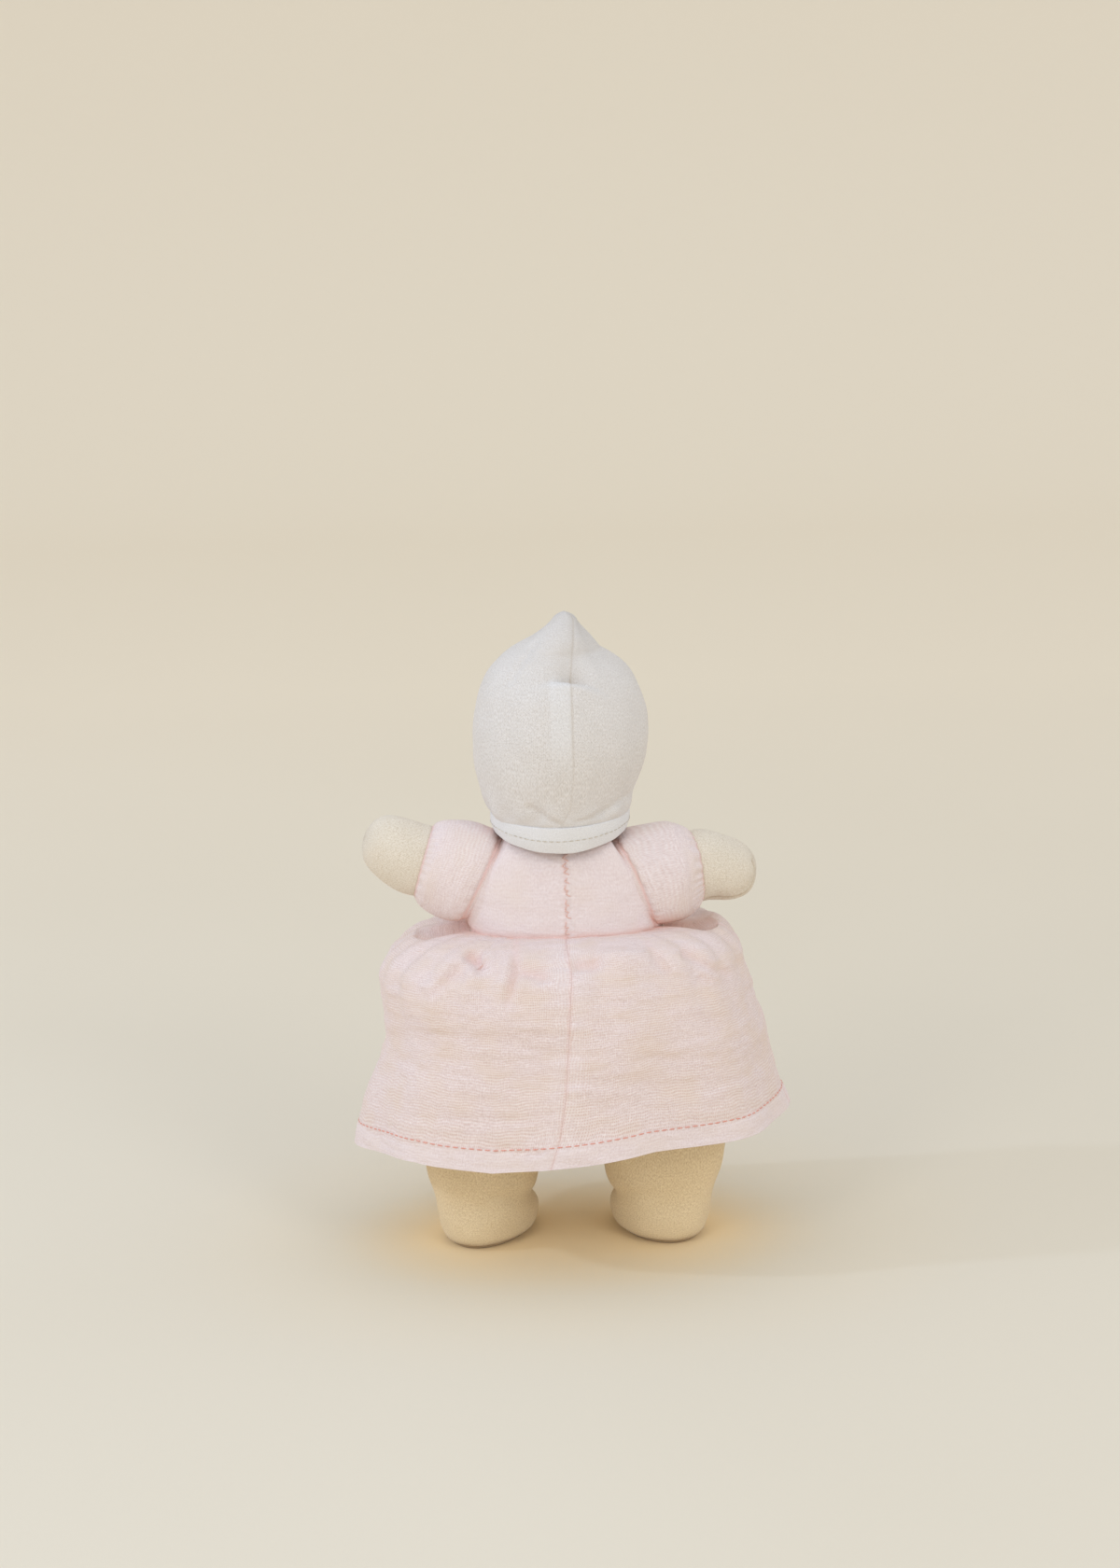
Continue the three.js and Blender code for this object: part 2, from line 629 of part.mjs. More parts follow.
// Closing thread: one thread going from side to side up the centre back seam.
const backOf = (height) => {
  let low = waistLevel;
  let high = 1;
  for (let i = 0; i < 30; i += 1) {
    const middle = (low + high) / 2;
    if (torsoForm(Math.PI / 2, middle).z < height) low = middle;
    else high = middle;
  }
  return torsoForm(Math.PI / 2, low).y;
};
const stitchBottom = waistHeight + stitchMargin;
const stitchTop = napeBandLow - stitchMargin / 2;
const threadPoints = Array.from({ length: 2 * stitchCount + 1 }, (_, i) => {
  const height = stitchBottom + ((stitchTop - stitchBottom) * i) / (2 * stitchCount);
  const back = backOf(height) + seamGap + threadThickness / 2;
  return new THREE.Vector3((i % 2 ? 1 : -1) * stitchHalfWidth, back, height);
});
const threadSection = new THREE.Shape();
threadSection.absarc(0, 0, threadThickness / 2, 0, fullTurn);
const thread = new THREE.ExtrudeGeometry(threadSection, {
  extrudePath: new THREE.CatmullRomCurve3(threadPoints), steps: 4 * stitchCount, curveSegments: 3,
});
add(doll, 'back_closing_thread', closed(thread), pinkThread());

export default doll;
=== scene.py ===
# %% [markdown]
# # A soft baby doll with a rubber head
# The real doll is sewn from pink double gauze and two kinds of jersey over a loose filling, and its
# moulded head wears a pointed bonnet. We dress the engineer's model here: each sewn panel is bent from a
# flat grid, because cloth is cut flat and a grid keeps a map of the cloth for its weave.

# %% Load the engineer's model
import math
import bmesh
import bpy
import numpy as np
from mathutils import Matrix, Vector, noise
from mathutils.bvhtree import BVHTree


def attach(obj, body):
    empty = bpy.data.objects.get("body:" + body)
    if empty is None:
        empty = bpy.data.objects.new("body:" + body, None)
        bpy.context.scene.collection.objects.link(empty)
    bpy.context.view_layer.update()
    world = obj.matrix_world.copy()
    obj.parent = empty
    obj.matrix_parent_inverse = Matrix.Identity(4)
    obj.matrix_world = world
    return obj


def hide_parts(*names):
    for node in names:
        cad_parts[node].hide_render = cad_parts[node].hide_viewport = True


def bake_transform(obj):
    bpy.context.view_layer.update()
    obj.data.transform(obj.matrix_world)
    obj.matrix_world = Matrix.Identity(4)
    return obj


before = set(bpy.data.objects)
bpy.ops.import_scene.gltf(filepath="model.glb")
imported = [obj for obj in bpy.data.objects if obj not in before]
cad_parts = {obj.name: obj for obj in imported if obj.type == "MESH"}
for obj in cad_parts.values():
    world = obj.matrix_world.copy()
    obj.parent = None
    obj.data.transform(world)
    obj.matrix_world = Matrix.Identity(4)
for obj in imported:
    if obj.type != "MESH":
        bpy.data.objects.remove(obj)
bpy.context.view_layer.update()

# %% [markdown]
# ## The camera
# The picture looks at the doll's back from a little above. A camera could be aimed with angles, but its
# own right and up directions as a matrix say the same without any order of turns. A long lens on a camera
# over a metre away keeps the doll's proportions.

# %% Place the camera
LENS = 73.47
SENSOR_HEIGHT = 36
CAMERA_PLACE = (0, 1.153514, 0.450765)
CAMERA_RIGHT = Vector((-0.999615, 0.005668, -0.027164))
CAMERA_UP = Vector((-0.027738, -0.231271, 0.972494))
camera_data = bpy.data.cameras.new("camera")
camera_data.sensor_fit = "VERTICAL"
camera_data.sensor_height = SENSOR_HEIGHT
camera_data.lens = LENS
camera = bpy.data.objects.new("camera", camera_data)
directions = Matrix((CAMERA_RIGHT, CAMERA_UP, CAMERA_RIGHT.cross(CAMERA_UP))).transposed()
camera.matrix_world = Matrix.Translation(CAMERA_PLACE) @ directions.to_4x4()
bpy.context.scene.collection.objects.link(camera)
bpy.context.scene.camera = camera
bpy.context.scene.view_settings.view_transform = "Standard"
print("camera at", [round(v, 3) for v in CAMERA_PLACE], "with a lens of", LENS, "mm")

# %% [markdown]
# ## Node materials
# Every finish is built from nodes, so it has detail at its real size. Pictures of cloth would blur from
# near. This small helper keeps the node code short: it adds a node, sets its values and links what feeds
# it.

# %% A helper for node materials
class Nodes:
    """Adds nodes to one material. Inputs are numbers, colours or the outputs of other nodes."""

    def __init__(self, name):
        self.material = bpy.data.materials.new(name)
        self.material.use_nodes = True
        self.tree = self.material.node_tree
        self.tree.nodes.clear()

    def add(self, kind, inputs=(), **settings):
        node = self.tree.nodes.new(kind)
        for key, value in settings.items():
            setattr(node, key, value)
        for key, value in dict(inputs).items():
            if isinstance(value, bpy.types.NodeSocket):
                self.tree.links.new(value, node.inputs[key])
            else:
                node.inputs[key].default_value = value
        return node

    def math(self, operation, *values):
        return self.add("ShaderNodeMath", enumerate(values), operation=operation).outputs[0]

    def plus(self, first, second):
        return self.math("ADD", first, second)

    def times(self, first, second):
        return self.math("MULTIPLY", first, second)

    def scaled(self, value, factor, offset):
        """The value times the factor, plus the offset."""
        return self.math("MULTIPLY_ADD", value, factor, offset)

    def mix(self, factor, first, second):
        node = self.add("ShaderNodeMix", {0: factor, 6: first, 7: second}, data_type="RGBA")
        return node.outputs[2]

    def noise(self, vector, scale, detail=2.0, **inputs):
        node = self.add("ShaderNodeTexNoise", {"Vector": vector, "Scale": scale, "Detail": detail, **inputs})
        return node.outputs["Fac"]

    def bump(self, height, distance, strength):
        inputs = {"Height": height, "Distance": distance, "Strength": strength}
        return self.add("ShaderNodeBump", inputs).outputs[0]

    def mark(self, name):
        """A value from 0 to 1 that the cloth carries at each point, such as where its seams are."""
        return self.add("ShaderNodeAttribute", attribute_name=name).outputs["Fac"]

    def finish(self, **inputs):
        """The material, from a shader with the given inputs."""
        shader = self.add("ShaderNodeBsdfPrincipled", inputs.items())
        self.add("ShaderNodeOutputMaterial", {"Surface": shader.outputs[0]})
        return self.material

# %% [markdown]
# ## Colours
# We judge cloth by how it looks on the screen, from 0 to 255, but shaders add light up in linear values.
# One helper turns the first into the second, so that the script can name colours as the eye sees them.

# %% A helper for colours
def tone(red, green, blue):
    """A colour as it looks on screen, from 0 to 255, in the linear values that shaders use."""
    return tuple((v / 255 / 12.92 if v <= 10 else ((v / 255 + 0.055) / 1.055) ** 2.4)
                 for v in (red, green, blue)) + (1.0,)


print("a middle grey is", [round(v, 3) for v in tone(128, 128, 128)])

# %% [markdown]
# ## Cloth is never quite even
# The threads follow the cloth's own map, which is kept in millimetres of flat cloth. Straight rows on it
# would look printed, so slow noise bends the map a little first. Noise that is stretched one way runs
# along threads.

# %% Helpers for uneven cloth
def stretched(nodes, vector, x, y):
    """The vector with its two directions scaled apart, for noise that runs one way."""
    return nodes.add("ShaderNodeMapping", {"Vector": vector, "Scale": (x, y, 1)}).outputs[0]


def wavy(nodes, cloth, amount):
    """The cloth's map, bent a little so that no row is quite straight."""
    drift = nodes.add("ShaderNodeTexNoise", {"Vector": cloth, "Scale": 0.12, "Detail": 1.0}).outputs["Color"]
    bent = nodes.add("ShaderNodeVectorMath", {0: drift, 1: (amount, amount, 0)}, operation="MULTIPLY")
    return nodes.add("ShaderNodeVectorMath", {0: cloth, 1: bent.outputs[0]}, operation="ADD").outputs[0]


def bent_map(nodes, amount):
    """The cloth's map in mm, the same map bent, and the bent one's two directions."""
    cloth = nodes.add("ShaderNodeUVMap", uv_map="cloth").outputs[0]
    bent = wavy(nodes, cloth, amount)
    place = nodes.add("ShaderNodeSeparateXYZ", {0: bent})
    return cloth, bent, place.outputs[0], place.outputs[1]

# %% [markdown]
# ## Double gauze
# Double gauze is a loose plain weave of uneven threads with tiny square holes and soft crinkles. Real
# threads could be modelled one by one, but a doll has thousands, so the weave is drawn: a cosine gives
# each thread. The holes show the warmer second layer. Where cloth shelters cloth, a warm shade is painted
# into the colour, for the light that goes from cloth to cloth.

# %% Make the pink double gauze
WARP_PITCH = 0.72
WEFT_PITCH = 0.88
THREAD_HEIGHT = 0.00004
SLUB_HEIGHT = 0.00016
CRINKLE_HEIGHT = 0.0013


def gauze(name, pale, deep, beige, hole, lined, seam_and_shade_tone, hollow):
    """Gauze, with the tones of its threads, holes, doubled cloth, seams with painted crease shade, and the
    painted warm shade of hollows.
    """
    nodes = Nodes(name)
    cloth, bent, across, along = bent_map(nodes, 2.2)
    warp = nodes.math("ABSOLUTE", nodes.math("COSINE", nodes.times(across, math.pi / WARP_PITCH)))
    weft = nodes.math("ABSOLUTE", nodes.math("COSINE", nodes.times(along, math.pi / WEFT_PITCH)))
    threads = nodes.math("MAXIMUM", warp, weft)
    slubs = nodes.plus(nodes.noise(stretched(nodes, bent, 0.22, 1.3), 1.0, 2.0),
                       nodes.noise(stretched(nodes, bent, 1.6, 0.25), 1.0, 2.0))
    crinkles = nodes.noise(stretched(nodes, cloth, 0.045, 0.21), 1.0, 4.0)
    patches = nodes.noise(stretched(nodes, cloth, 0.05, 0.09), 1.0, 3.0)
    doubled = nodes.mark("doubled")
    grain = nodes.scaled(nodes.noise(bent, 1.5, 3.0), 2.6, -1.6)
    base = nodes.mix(nodes.scaled(slubs, 0.8, grain), deep, pale)
    base = nodes.mix(nodes.scaled(patches, 2.0, -0.85), base, beige)
    openness = nodes.times(nodes.scaled(patches, 1.4, 0.1), nodes.scaled(doubled, -0.75, 1.0))
    base = nodes.mix(nodes.times(nodes.math("SUBTRACT", 1.0, threads), openness), base, hole)
    base = nodes.mix(nodes.times(doubled, 0.5), base, lined)
    base = nodes.mix(nodes.times(nodes.mark("seam"), 0.6), base, seam_and_shade_tone)
    # Painted warm shade: where ambient occlusion finds cloth close by, the colour turns to the hollow tone.
    open_air = nodes.add("ShaderNodeAmbientOcclusion", {"Distance": 0.012}, samples=4).outputs["AO"]
    base = nodes.mix(nodes.scaled(open_air, 1.2, 0.3), hollow, base)
    height = nodes.plus(nodes.times(threads, THREAD_HEIGHT), nodes.times(crinkles, CRINKLE_HEIGHT))
    height = nodes.plus(height, nodes.times(slubs, SLUB_HEIGHT))
    return nodes.finish(**{"Base Color": base, "Normal": nodes.bump(height, 1.0, 0.8), "Roughness": 0.92,
                           "Sheen Weight": 0.15, "Sheen Roughness": 0.6, "Specular IOR Level": 0.2})


# The sixth tone is for seams and the painted shade of the skirt's creases, the last for painted warm shade
# in hollows.
pink_gauze = gauze("pink_muslin", tone(247, 237, 238), tone(224, 208, 207), tone(238, 225, 211),
                   tone(208, 168, 157), tone(236, 224, 228), tone(232, 180, 172), tone(250, 200, 178))
print("made", pink_gauze.name)

# %% [markdown]
# ## Jersey
# Jersey is knitted: its loops stand in columns about 1 mm apart, and each loop shows as a small V. The
# same map in millimetres gives the columns, and the V comes from sliding the rows up on both sides of a
# column. The legs have slightly larger loops and a warmer cream, partly their own colour and partly
# painted warm light from the floor, so they get a finish of their own.

# %% Make the three jerseys
KNIT_HEIGHT = 0.0001
FUZZ_HEIGHT = 0.00018


def jersey(name, pale, deep, lined, seam_and_shade_tone, column=1.0, row=0.8):
    """Jersey, with the tones of its loops, doubled cloth, seams with painted shade, and its loops' size in
    mm.
    """
    nodes = Nodes(name)
    cloth, bent, sideways, along = bent_map(nodes, 3)
    across = nodes.math("PINGPONG", nodes.math("DIVIDE", sideways, column), 0.5)
    slide = nodes.plus(nodes.math("DIVIDE", along, row), nodes.times(across, 1.3))
    loops = nodes.math("ABSOLUTE", nodes.math("SINE", nodes.times(slide, math.pi)))
    columns = nodes.math("SINE", nodes.times(across, 2 * math.pi))
    knit = nodes.times(nodes.plus(loops, columns), 0.5)
    patches = nodes.noise(cloth, 0.09, 3.0)
    fuzz = nodes.noise(stretched(nodes, bent, 1.8, 1.3), 1.0, 3.0)
    yarn = nodes.plus(nodes.times(knit, 0.6), nodes.scaled(fuzz, 1.8, -0.8))
    base = nodes.mix(nodes.scaled(patches, 0.3, yarn), deep, pale)
    base = nodes.mix(nodes.times(nodes.mark("doubled"), 0.45), base, lined)
    base = nodes.mix(nodes.times(nodes.mark("seam"), 0.7), base, seam_and_shade_tone)
    height = nodes.plus(nodes.times(knit, KNIT_HEIGHT), nodes.times(fuzz, FUZZ_HEIGHT))
    return nodes.finish(**{"Base Color": base, "Normal": nodes.bump(height, 1.0, 0.7), "Roughness": 0.95,
                           "Sheen Weight": 0.2, "Sheen Roughness": 0.5, "Specular IOR Level": 0.2})


# The white jersey's darkest tone is for its seams and the painted shade in the bonnet's fold.
white_jersey = jersey("white_jersey", tone(234, 232, 232), tone(204, 199, 195), tone(238, 242, 248),
                      tone(184, 170, 150))
cream_jersey = jersey("cream_jersey", tone(240, 233, 221), tone(206, 194, 174), tone(240, 233, 221),
                      tone(190, 170, 140))
# The legs' cream is partly painted warm light from the floor, and their darkest tone is painted shade at the
# soles.
leg_jersey = jersey("leg_jersey", tone(250, 231, 194), tone(213, 187, 143), tone(250, 231, 194),
                    tone(150, 116, 74), 1.06, 0.85)
print("made", white_jersey.name, cream_jersey.name, leg_jersey.name)

# %% [markdown]
# ## Thread and filling
# Sewing thread is a twist of fibres, so fine stripes run round it at a slant. The filling is a cloud of
# fibre, so noise roughens it. Both are plain and matt, and one short function each is enough.

# %% Make the threads and the filling
def thread(name, pale, deep):
    """Twisted thread, striped at a slant."""
    nodes = Nodes(name)
    place = nodes.add("ShaderNodeTexCoord").outputs["Object"]
    stripes = nodes.add("ShaderNodeTexWave", {"Vector": place, "Scale": 900.0, "Distortion": 1.5},
                        bands_direction="DIAGONAL").outputs["Fac"]
    return nodes.finish(**{"Base Color": nodes.mix(stripes, deep, pale),
                           "Normal": nodes.bump(stripes, 0.0001, 0.6), "Roughness": 0.75})


def fibre(name, pale, deep):
    """Loose filling, rough all over."""
    nodes = Nodes(name)
    cloud = nodes.noise(nodes.add("ShaderNodeTexCoord").outputs["Object"], 700.0, 6.0)
    return nodes.finish(**{"Base Color": nodes.mix(cloud, deep, pale),
                           "Normal": nodes.bump(cloud, 0.001, 1.0), "Roughness": 1.0})


salmon_thread = thread("pink_thread", tone(240, 180, 166), tone(222, 152, 138))
rose_thread = thread("rose_thread", tone(243, 214, 206), tone(228, 184, 172))
white_thread = thread("white_thread", tone(226, 220, 208), tone(190, 182, 168))
filling_fibre = fibre("stuffing", tone(246, 243, 236), tone(224, 219, 208))
print("made", salmon_thread.name, rose_thread.name, white_thread.name, filling_fibre.name)

# %% [markdown]
# ## Forms made of ovals
# The doll's parts are long forms whose oval section changes along the way. Sculpting could make them too,
# but the sizes must match the model. So we list a few stations, each with its height, half width and reach
# to the back and the front in millimetres, and draw smooth curves through them. A shape function then
# turns two numbers, the turn round the form and the way along it, into a point.

# %% Helpers for oval forms
def through(stations, t):
    """Smooth values through the stations, at t from 0 to 1."""
    points = np.array(stations, float)
    last = len(points) - 1
    place = np.clip(t, 0, 1) * last
    first = np.minimum(place.astype(int), last - 1)
    f = (place - first)[:, None]
    p0, p1, p2, p3 = (points[np.clip(first + k, 0, last)] for k in (-1, 0, 1, 2))
    m1, m2 = (p2 - p0) / 2, (p3 - p1) / 2
    return p1 + f * m1 + f ** 2 * (3 * (p2 - p1) - 2 * m1 - m2) + f ** 3 * (2 * (p1 - p2) + m1 + m2)


def oval(stations, turn, t, fullness=1.0):
    """Points of the form. Fullness under 1 squares the ovals."""
    height, half_width, back, front = through(stations, t).T
    full = lambda v: np.sign(v) * np.abs(v) ** fullness
    return np.stack([np.maximum(half_width, 0) * full(np.cos(turn)),
                     (back - front) / 2 + np.maximum((back + front) / 2, 0) * full(np.sin(turn)),
                     height], axis=1)


ball = [[0, 0, 0, 0], [5, 5, 5, 5], [10, 0, 0, 0]]
print("a point halfway up a ball:", oval(ball, 0, np.array([0.5])).round(1))

# %% [markdown]
# ## Soft steps and bells
# Cloth has no sharp change: a crease fades out and a seam draws in gently. Two curves are enough for all
# of it, one that rises from 0 to 1 and one that is 1 in its middle and falls off to both sides.

# %% Helpers for soft changes
def ease(low, high, value):
    """0 below low, 1 above high, and smooth between them."""
    s = np.clip((value - low) / (high - low), 0, 1)
    return s * s * (3 - 2 * s)


def bell(value, width):
    """1 where the value is 0, falling off to both sides within about the width."""
    return np.exp(-(value / width) ** 2)


print("halfway up a soft step:", ease(0, 2, 1.0), "and a bell's flank:", round(bell(1.0, 1.0), 2))

# %% [markdown]
# ## Cutting cloth
# A piece of cloth starts as Blender's flat grid. The shape function moves each vertex of the grid to its
# place, and the vertex's first place, in millimetres of cloth, stays as the map that the weave follows.

# %% Helpers for cutting cloth
MM = 0.001


def cut_cloth(name, columns, rows, size, shape, material, weld=False):
    """A grid of the given size in mm, bent to shape(u, v), where u and v run from 0 to 1."""
    bm = bmesh.new()
    cloth_map = bm.loops.layers.uv.new("cloth")
    bmesh.ops.create_grid(bm, x_segments=columns, y_segments=rows, size=0.5)
    flat = np.array([v.co[:2] for v in bm.verts]) + 0.5
    bm.verts.index_update()
    for face in bm.faces:
        for loop in face.loops:
            loop[cloth_map].uv = flat[loop.vert.index] * size
    points = shape(flat[:, 0], flat[:, 1])
    for vert, point in zip(bm.verts, points):
        vert.co = point * MM
    if weld:
        bmesh.ops.remove_doubles(bm, verts=bm.verts, dist=2e-6)
    middle = Vector(points.mean(axis=0) * MM)
    bm.normal_update()
    if sum(f.normal.dot(f.calc_center_median() - middle) * f.calc_area() for f in bm.faces) < 0:
        bmesh.ops.reverse_faces(bm, faces=bm.faces)
    return finished(name, bm, material)


def finished(name, bm, material):
    """The bmesh as an object at the origin, smooth and with its finish."""
    mesh = bpy.data.meshes.new(name)
    bm.to_mesh(mesh)
    bm.free()
    mesh.shade_smooth()
    mesh.materials.append(material)
    piece = bpy.data.objects.new(name, mesh)
    bpy.context.scene.collection.objects.link(piece)
    return piece

# %% [markdown]
# ## Pressing the cloth and closing its seams
# Folds and lumps are pressed into a piece along its own outward directions, as fingers do it. Where two
# panels meet, each is pressed its own way and a gap would open, so the shared seam points are brought
# together again.

# %% Helpers for pressing
def points_of(piece):
    """The piece's vertices, in mm."""
    values = np.empty(len(piece.data.vertices) * 3)
    piece.data.vertices.foreach_get("co", values)
    return values.reshape(-1, 3) / MM


def press(piece, amounts):
    """Moves each vertex out along its normal, by amounts in mm."""
    normals = np.empty(len(piece.data.vertices) * 3)
    piece.data.vertex_normals.foreach_get("vector", normals)
    moved = points_of(piece) + normals.reshape(-1, 3) * np.asarray(amounts)[:, None]
    piece.data.vertices.foreach_set("co", (moved * MM).ravel())
    piece.data.update()


def close_seams(pieces, cut_points):
    """Neighbouring panels shared their seams' points when they were cut. Each pair meets again halfway."""
    now = np.concatenate([points_of(piece) for piece in pieces])
    _, shared = np.unique(np.round(np.concatenate(cut_points), 3), axis=0, return_inverse=True)
    total = np.zeros((shared.max() + 1, 3))
    np.add.at(total, shared.ravel(), now)
    met = (total / np.bincount(shared.ravel())[:, None])[shared.ravel()] * MM
    for piece in pieces:
        piece.data.vertices.foreach_set("co", met[:len(piece.data.vertices)].ravel())
        piece.data.update()
        met = met[len(piece.data.vertices):]

# %% [markdown]
# ## Stuffing
# Stuffed limbs swell between their seams in a way that is hard to guess, so Blender's cloth simulation
# makes it. The piece is cut a little larger than its form, air pressure stands for the filling, and the
# seams are held. It runs on a copy at ten times the size, where the solver is steady, and only the result
# is kept.

# %% A helper for stuffing
TRIAL_SCALE = 10
PRESSURE = 4
LAST_FRAME = 16


def stuff(piece, held, give, cap):
    """Swells the piece over its filling, in a cloth that is larger by the share give. Held points stay, and
    no point moves more than cap mm."""
    cut = piece.data.copy()
    cut.transform(Matrix.Scale(TRIAL_SCALE, 4))
    trial = bpy.data.objects.new("trial", cut)
    bpy.context.scene.collection.objects.link(trial)
    trial.vertex_groups.new(name="held").add([int(i) for i in np.flatnonzero(held)], 1.0, "REPLACE")
    cloth = trial.modifiers.new("cloth", "CLOTH")
    cloth.settings.vertex_group_mass = "held"
    cloth.settings.use_pressure = True
    cloth.settings.uniform_pressure_force = PRESSURE
    cloth.settings.shrink_min = -give
    cloth.settings.effector_weights.gravity = 0
    cloth.collision_settings.use_collision = False
    cloth.point_cache.frame_end = LAST_FRAME
    for step in range(1, LAST_FRAME + 1):
        bpy.context.scene.frame_set(step)
    swollen = trial.evaluated_get(bpy.context.evaluated_depsgraph_get()).data
    after = np.empty(len(swollen.vertices) * 3)
    swollen.vertices.foreach_get("co", after)
    before = points_of(piece)
    moved = after.reshape(-1, 3) / (MM * TRIAL_SCALE) - before
    length = np.linalg.norm(moved, axis=1)
    moved *= np.tanh(length / cap)[:, None] * cap / np.maximum(length, 1e-6)[:, None]
    piece.data.vertices.foreach_set("co", ((before + moved) * MM).ravel())
    piece.data.update()
    bpy.context.scene.frame_set(1)
    bpy.data.objects.remove(trial)
    bpy.data.meshes.remove(cut)
    print(f"{piece.name}: the simulation moved it {length.mean():.2f} mm on average")

# %% [markdown]
# ## Seams, lumps and creases
# A seam is a line where the cloth is drawn in and looks darker, and doubled cloth looks denser. We write
# both on the mesh as values that the finishes read; the seam's value also carries painted shade in
# creases, in the bonnet's fold and at the soles. Lumps come from smooth noise, and a crease is a groove
# with soft raised sides along a line. These could be painted too, but a few lines of points are easier to
# change.

# %% Helpers for seams, lumps and creases
def seam_and_shade_marks(piece, marks, doubled=0.0):
    """How dark the cloth is at its seams and with painted shade, and where it lies double, both from 0 to 1.
    """
    for name, values in (("seam", marks), ("doubled", doubled)):
        attribute = piece.data.attributes.new(name, "FLOAT", "POINT")
        values = np.clip(values, 0, 1) + np.zeros(len(piece.data.vertices))
        attribute.data.foreach_set("value", values.astype(np.float32))


def lumps(points, size, seed=0.0):
    """Smooth noise from -1 to 1 over the points, with swellings of about the given size in mm."""
    scale = 1.0 / np.asarray(size, float)
    return np.array([noise.noise(Vector(p * scale) + Vector((seed, 0, 0))) for p in points])


def away(points, *line):
    """Distance in mm from a line through some points."""
    best = np.full(len(points), np.inf)
    for start, end in zip(np.array(line[:-1], float), np.array(line[1:], float)):
        way = end - start
        s = np.clip(((points - start) @ way) / (way @ way), 0, 1)
        best = np.minimum(best, np.linalg.norm(points - (start + s[:, None] * way), axis=1))
    return best


def fold(distance, depth, width):
    """A crease with soft raised sides, as cloth makes."""
    return depth * (0.55 * (distance / width) ** 2 - 1) * np.exp(-0.9 * (distance / width) ** 2)

# %% [markdown]
# ## Thickness
# Cloth has a thickness that shows at its edges. Solidify gives it on the inside, so the outside keeps its
# form, and a small bevel rounds the edges, as no cloth edge is sharp. The same cell says what a finished
# piece stands for in the engineer's model and what it moves with.

# %% Helpers that finish a piece
def thicken(piece, thickness, radius=0.12):
    """Gives a sheet its thickness on the inside, and rounds its edges a little."""
    solidify = piece.modifiers.new("thickness", "SOLIDIFY")
    solidify.thickness = thickness * MM
    solidify.offset = -1
    solidify.use_quality_normals = True
    bevel = piece.modifiers.new("rounded edges", "BEVEL")
    bevel.width = radius * MM
    bevel.segments = 1 if radius < 0.3 else 2
    bevel.limit_method = "ANGLE"
    bevel.angle_limit = math.radians(50)
    bevel.harden_normals = True


def sewn_to(piece, body, slot, *nodes):
    """The piece stands for CAD nodes, which it hides, and moves with a body. The slot is not used."""
    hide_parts(*nodes)
    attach(piece, body)
    print(f"{piece.name}: {len(piece.data.polygons)} faces, on {body}")

# %% [markdown]
# ## Stitches
# A row of stitches is many short thread ends that dip into the cloth. A curve could run along the seam,
# but it would not dip. So each stitch is a small stretched ball laid on the finished cloth: we look up the
# nearest point on the cloth and lift the thread a little.

# %% Helpers for stitches
def surface_of(*pieces):
    """A lookup of the nearest point and outward direction on finished cloth."""
    trees = []
    for piece in pieces:
        bm = bmesh.new()
        bm.from_mesh(piece.data)
        trees.append(BVHTree.FromBMesh(bm))
        bm.free()

    def nearest(point):
        found = [tree.find_nearest(Vector(point) * MM)[:2] for tree in trees]
        place, normal = min(found, key=lambda hit: (hit[0] - Vector(point) * MM).length)
        return place / MM, normal
    return nearest


def stitch_row(name, ends, radius, material, nearest, lift=0.5):
    """Stitches between pairs of points in mm, laid on the cloth and lifted by a share of their radius."""
    bm = bmesh.new()
    for count, (start, end) in enumerate(ends, 1):
        (a, normal_a), (b, normal_b) = nearest(start), nearest(end)
        normal = (normal_a + normal_b).normalized()
        middle = ((a + b) / 2 + normal * radius * lift) * MM
        way = (b - a) * MM
        place = Matrix.Translation(middle) @ way.to_track_quat("Z", "Y").to_matrix().to_4x4()
        size = Matrix.Diagonal((radius * MM, radius * MM, way.length / 2 + radius * MM / 2, 1))
        bmesh.ops.create_uvsphere(bm, u_segments=6, v_segments=6, radius=1, matrix=place @ size)
    print(f"{name}: {count} stitches")
    return finished(name, bm, material)

# %% [markdown]
# ## The bodice
# The bodice is three panels of gauze, drawn tight over the filling: one front and two backs that meet at
# the hand-sewn closing. All three are bent over one form, so that they fit together. We also need the two
# arms' places here, because the form is cut off at the slanting planes in which the sleeves are set in.

# %% Shape the torso
SEAT = [[70.5, 0, 0, 0], [71, 21.75, 12.5, 12.5], [74.5, 35.7, 20.5, 21], [82.5, 43.5, 25, 26],
        [101, 40, 25, 27], [122, 36, 21.6, 24]]
BODICE = [[120.5, 36.2, 21.8, 24.2], [123.5, 36.6, 22, 24.5], [128, 37.8, 21.9, 24], [135, 38.7, 21.5, 23.3],
          [141.8, 38.4, 21, 22], [150, 35.2, 19.6, 19.2], [155.9, 31, 17.4, 16.8], [158.6, 27.4, 15.2, 14.6],
          [160, 21, 13, 12.6], [160.4, 15, 12, 11.6]]
SHOULDERS = {1: np.array([30.3, 0, 141.8]), -1: np.array([-30.3, 0, 140.0])}
ARM_TURNS = {1: Matrix.Rotation(math.radians(-3), 3, "Z") @ Matrix.Rotation(math.radians(73.5), 3, "Y"),
             -1: Matrix.Rotation(math.radians(15), 3, "Z") @ Matrix.Rotation(math.radians(-84), 3, "Y")}
SET_IN = {1: (0.8, 0.17), -1: (-6.2, -0.27)}
BASE_RADIUS = 16.6
BASE_DEPTHS = {1: 0.94, -1: 1.05}


def arm_places(points, side):
    """The points in an arm's own directions: down across it, deep, and along it."""
    return (points - SHOULDERS[side]) @ np.array(ARM_TURNS[side])


def beyond_seam(points, side):
    """Distance in mm outside the slanting plane in which a sleeve is set in."""
    across, deep, along = arm_places(points, side).T
    place, slope = SET_IN[side]
    return along - place - slope * across


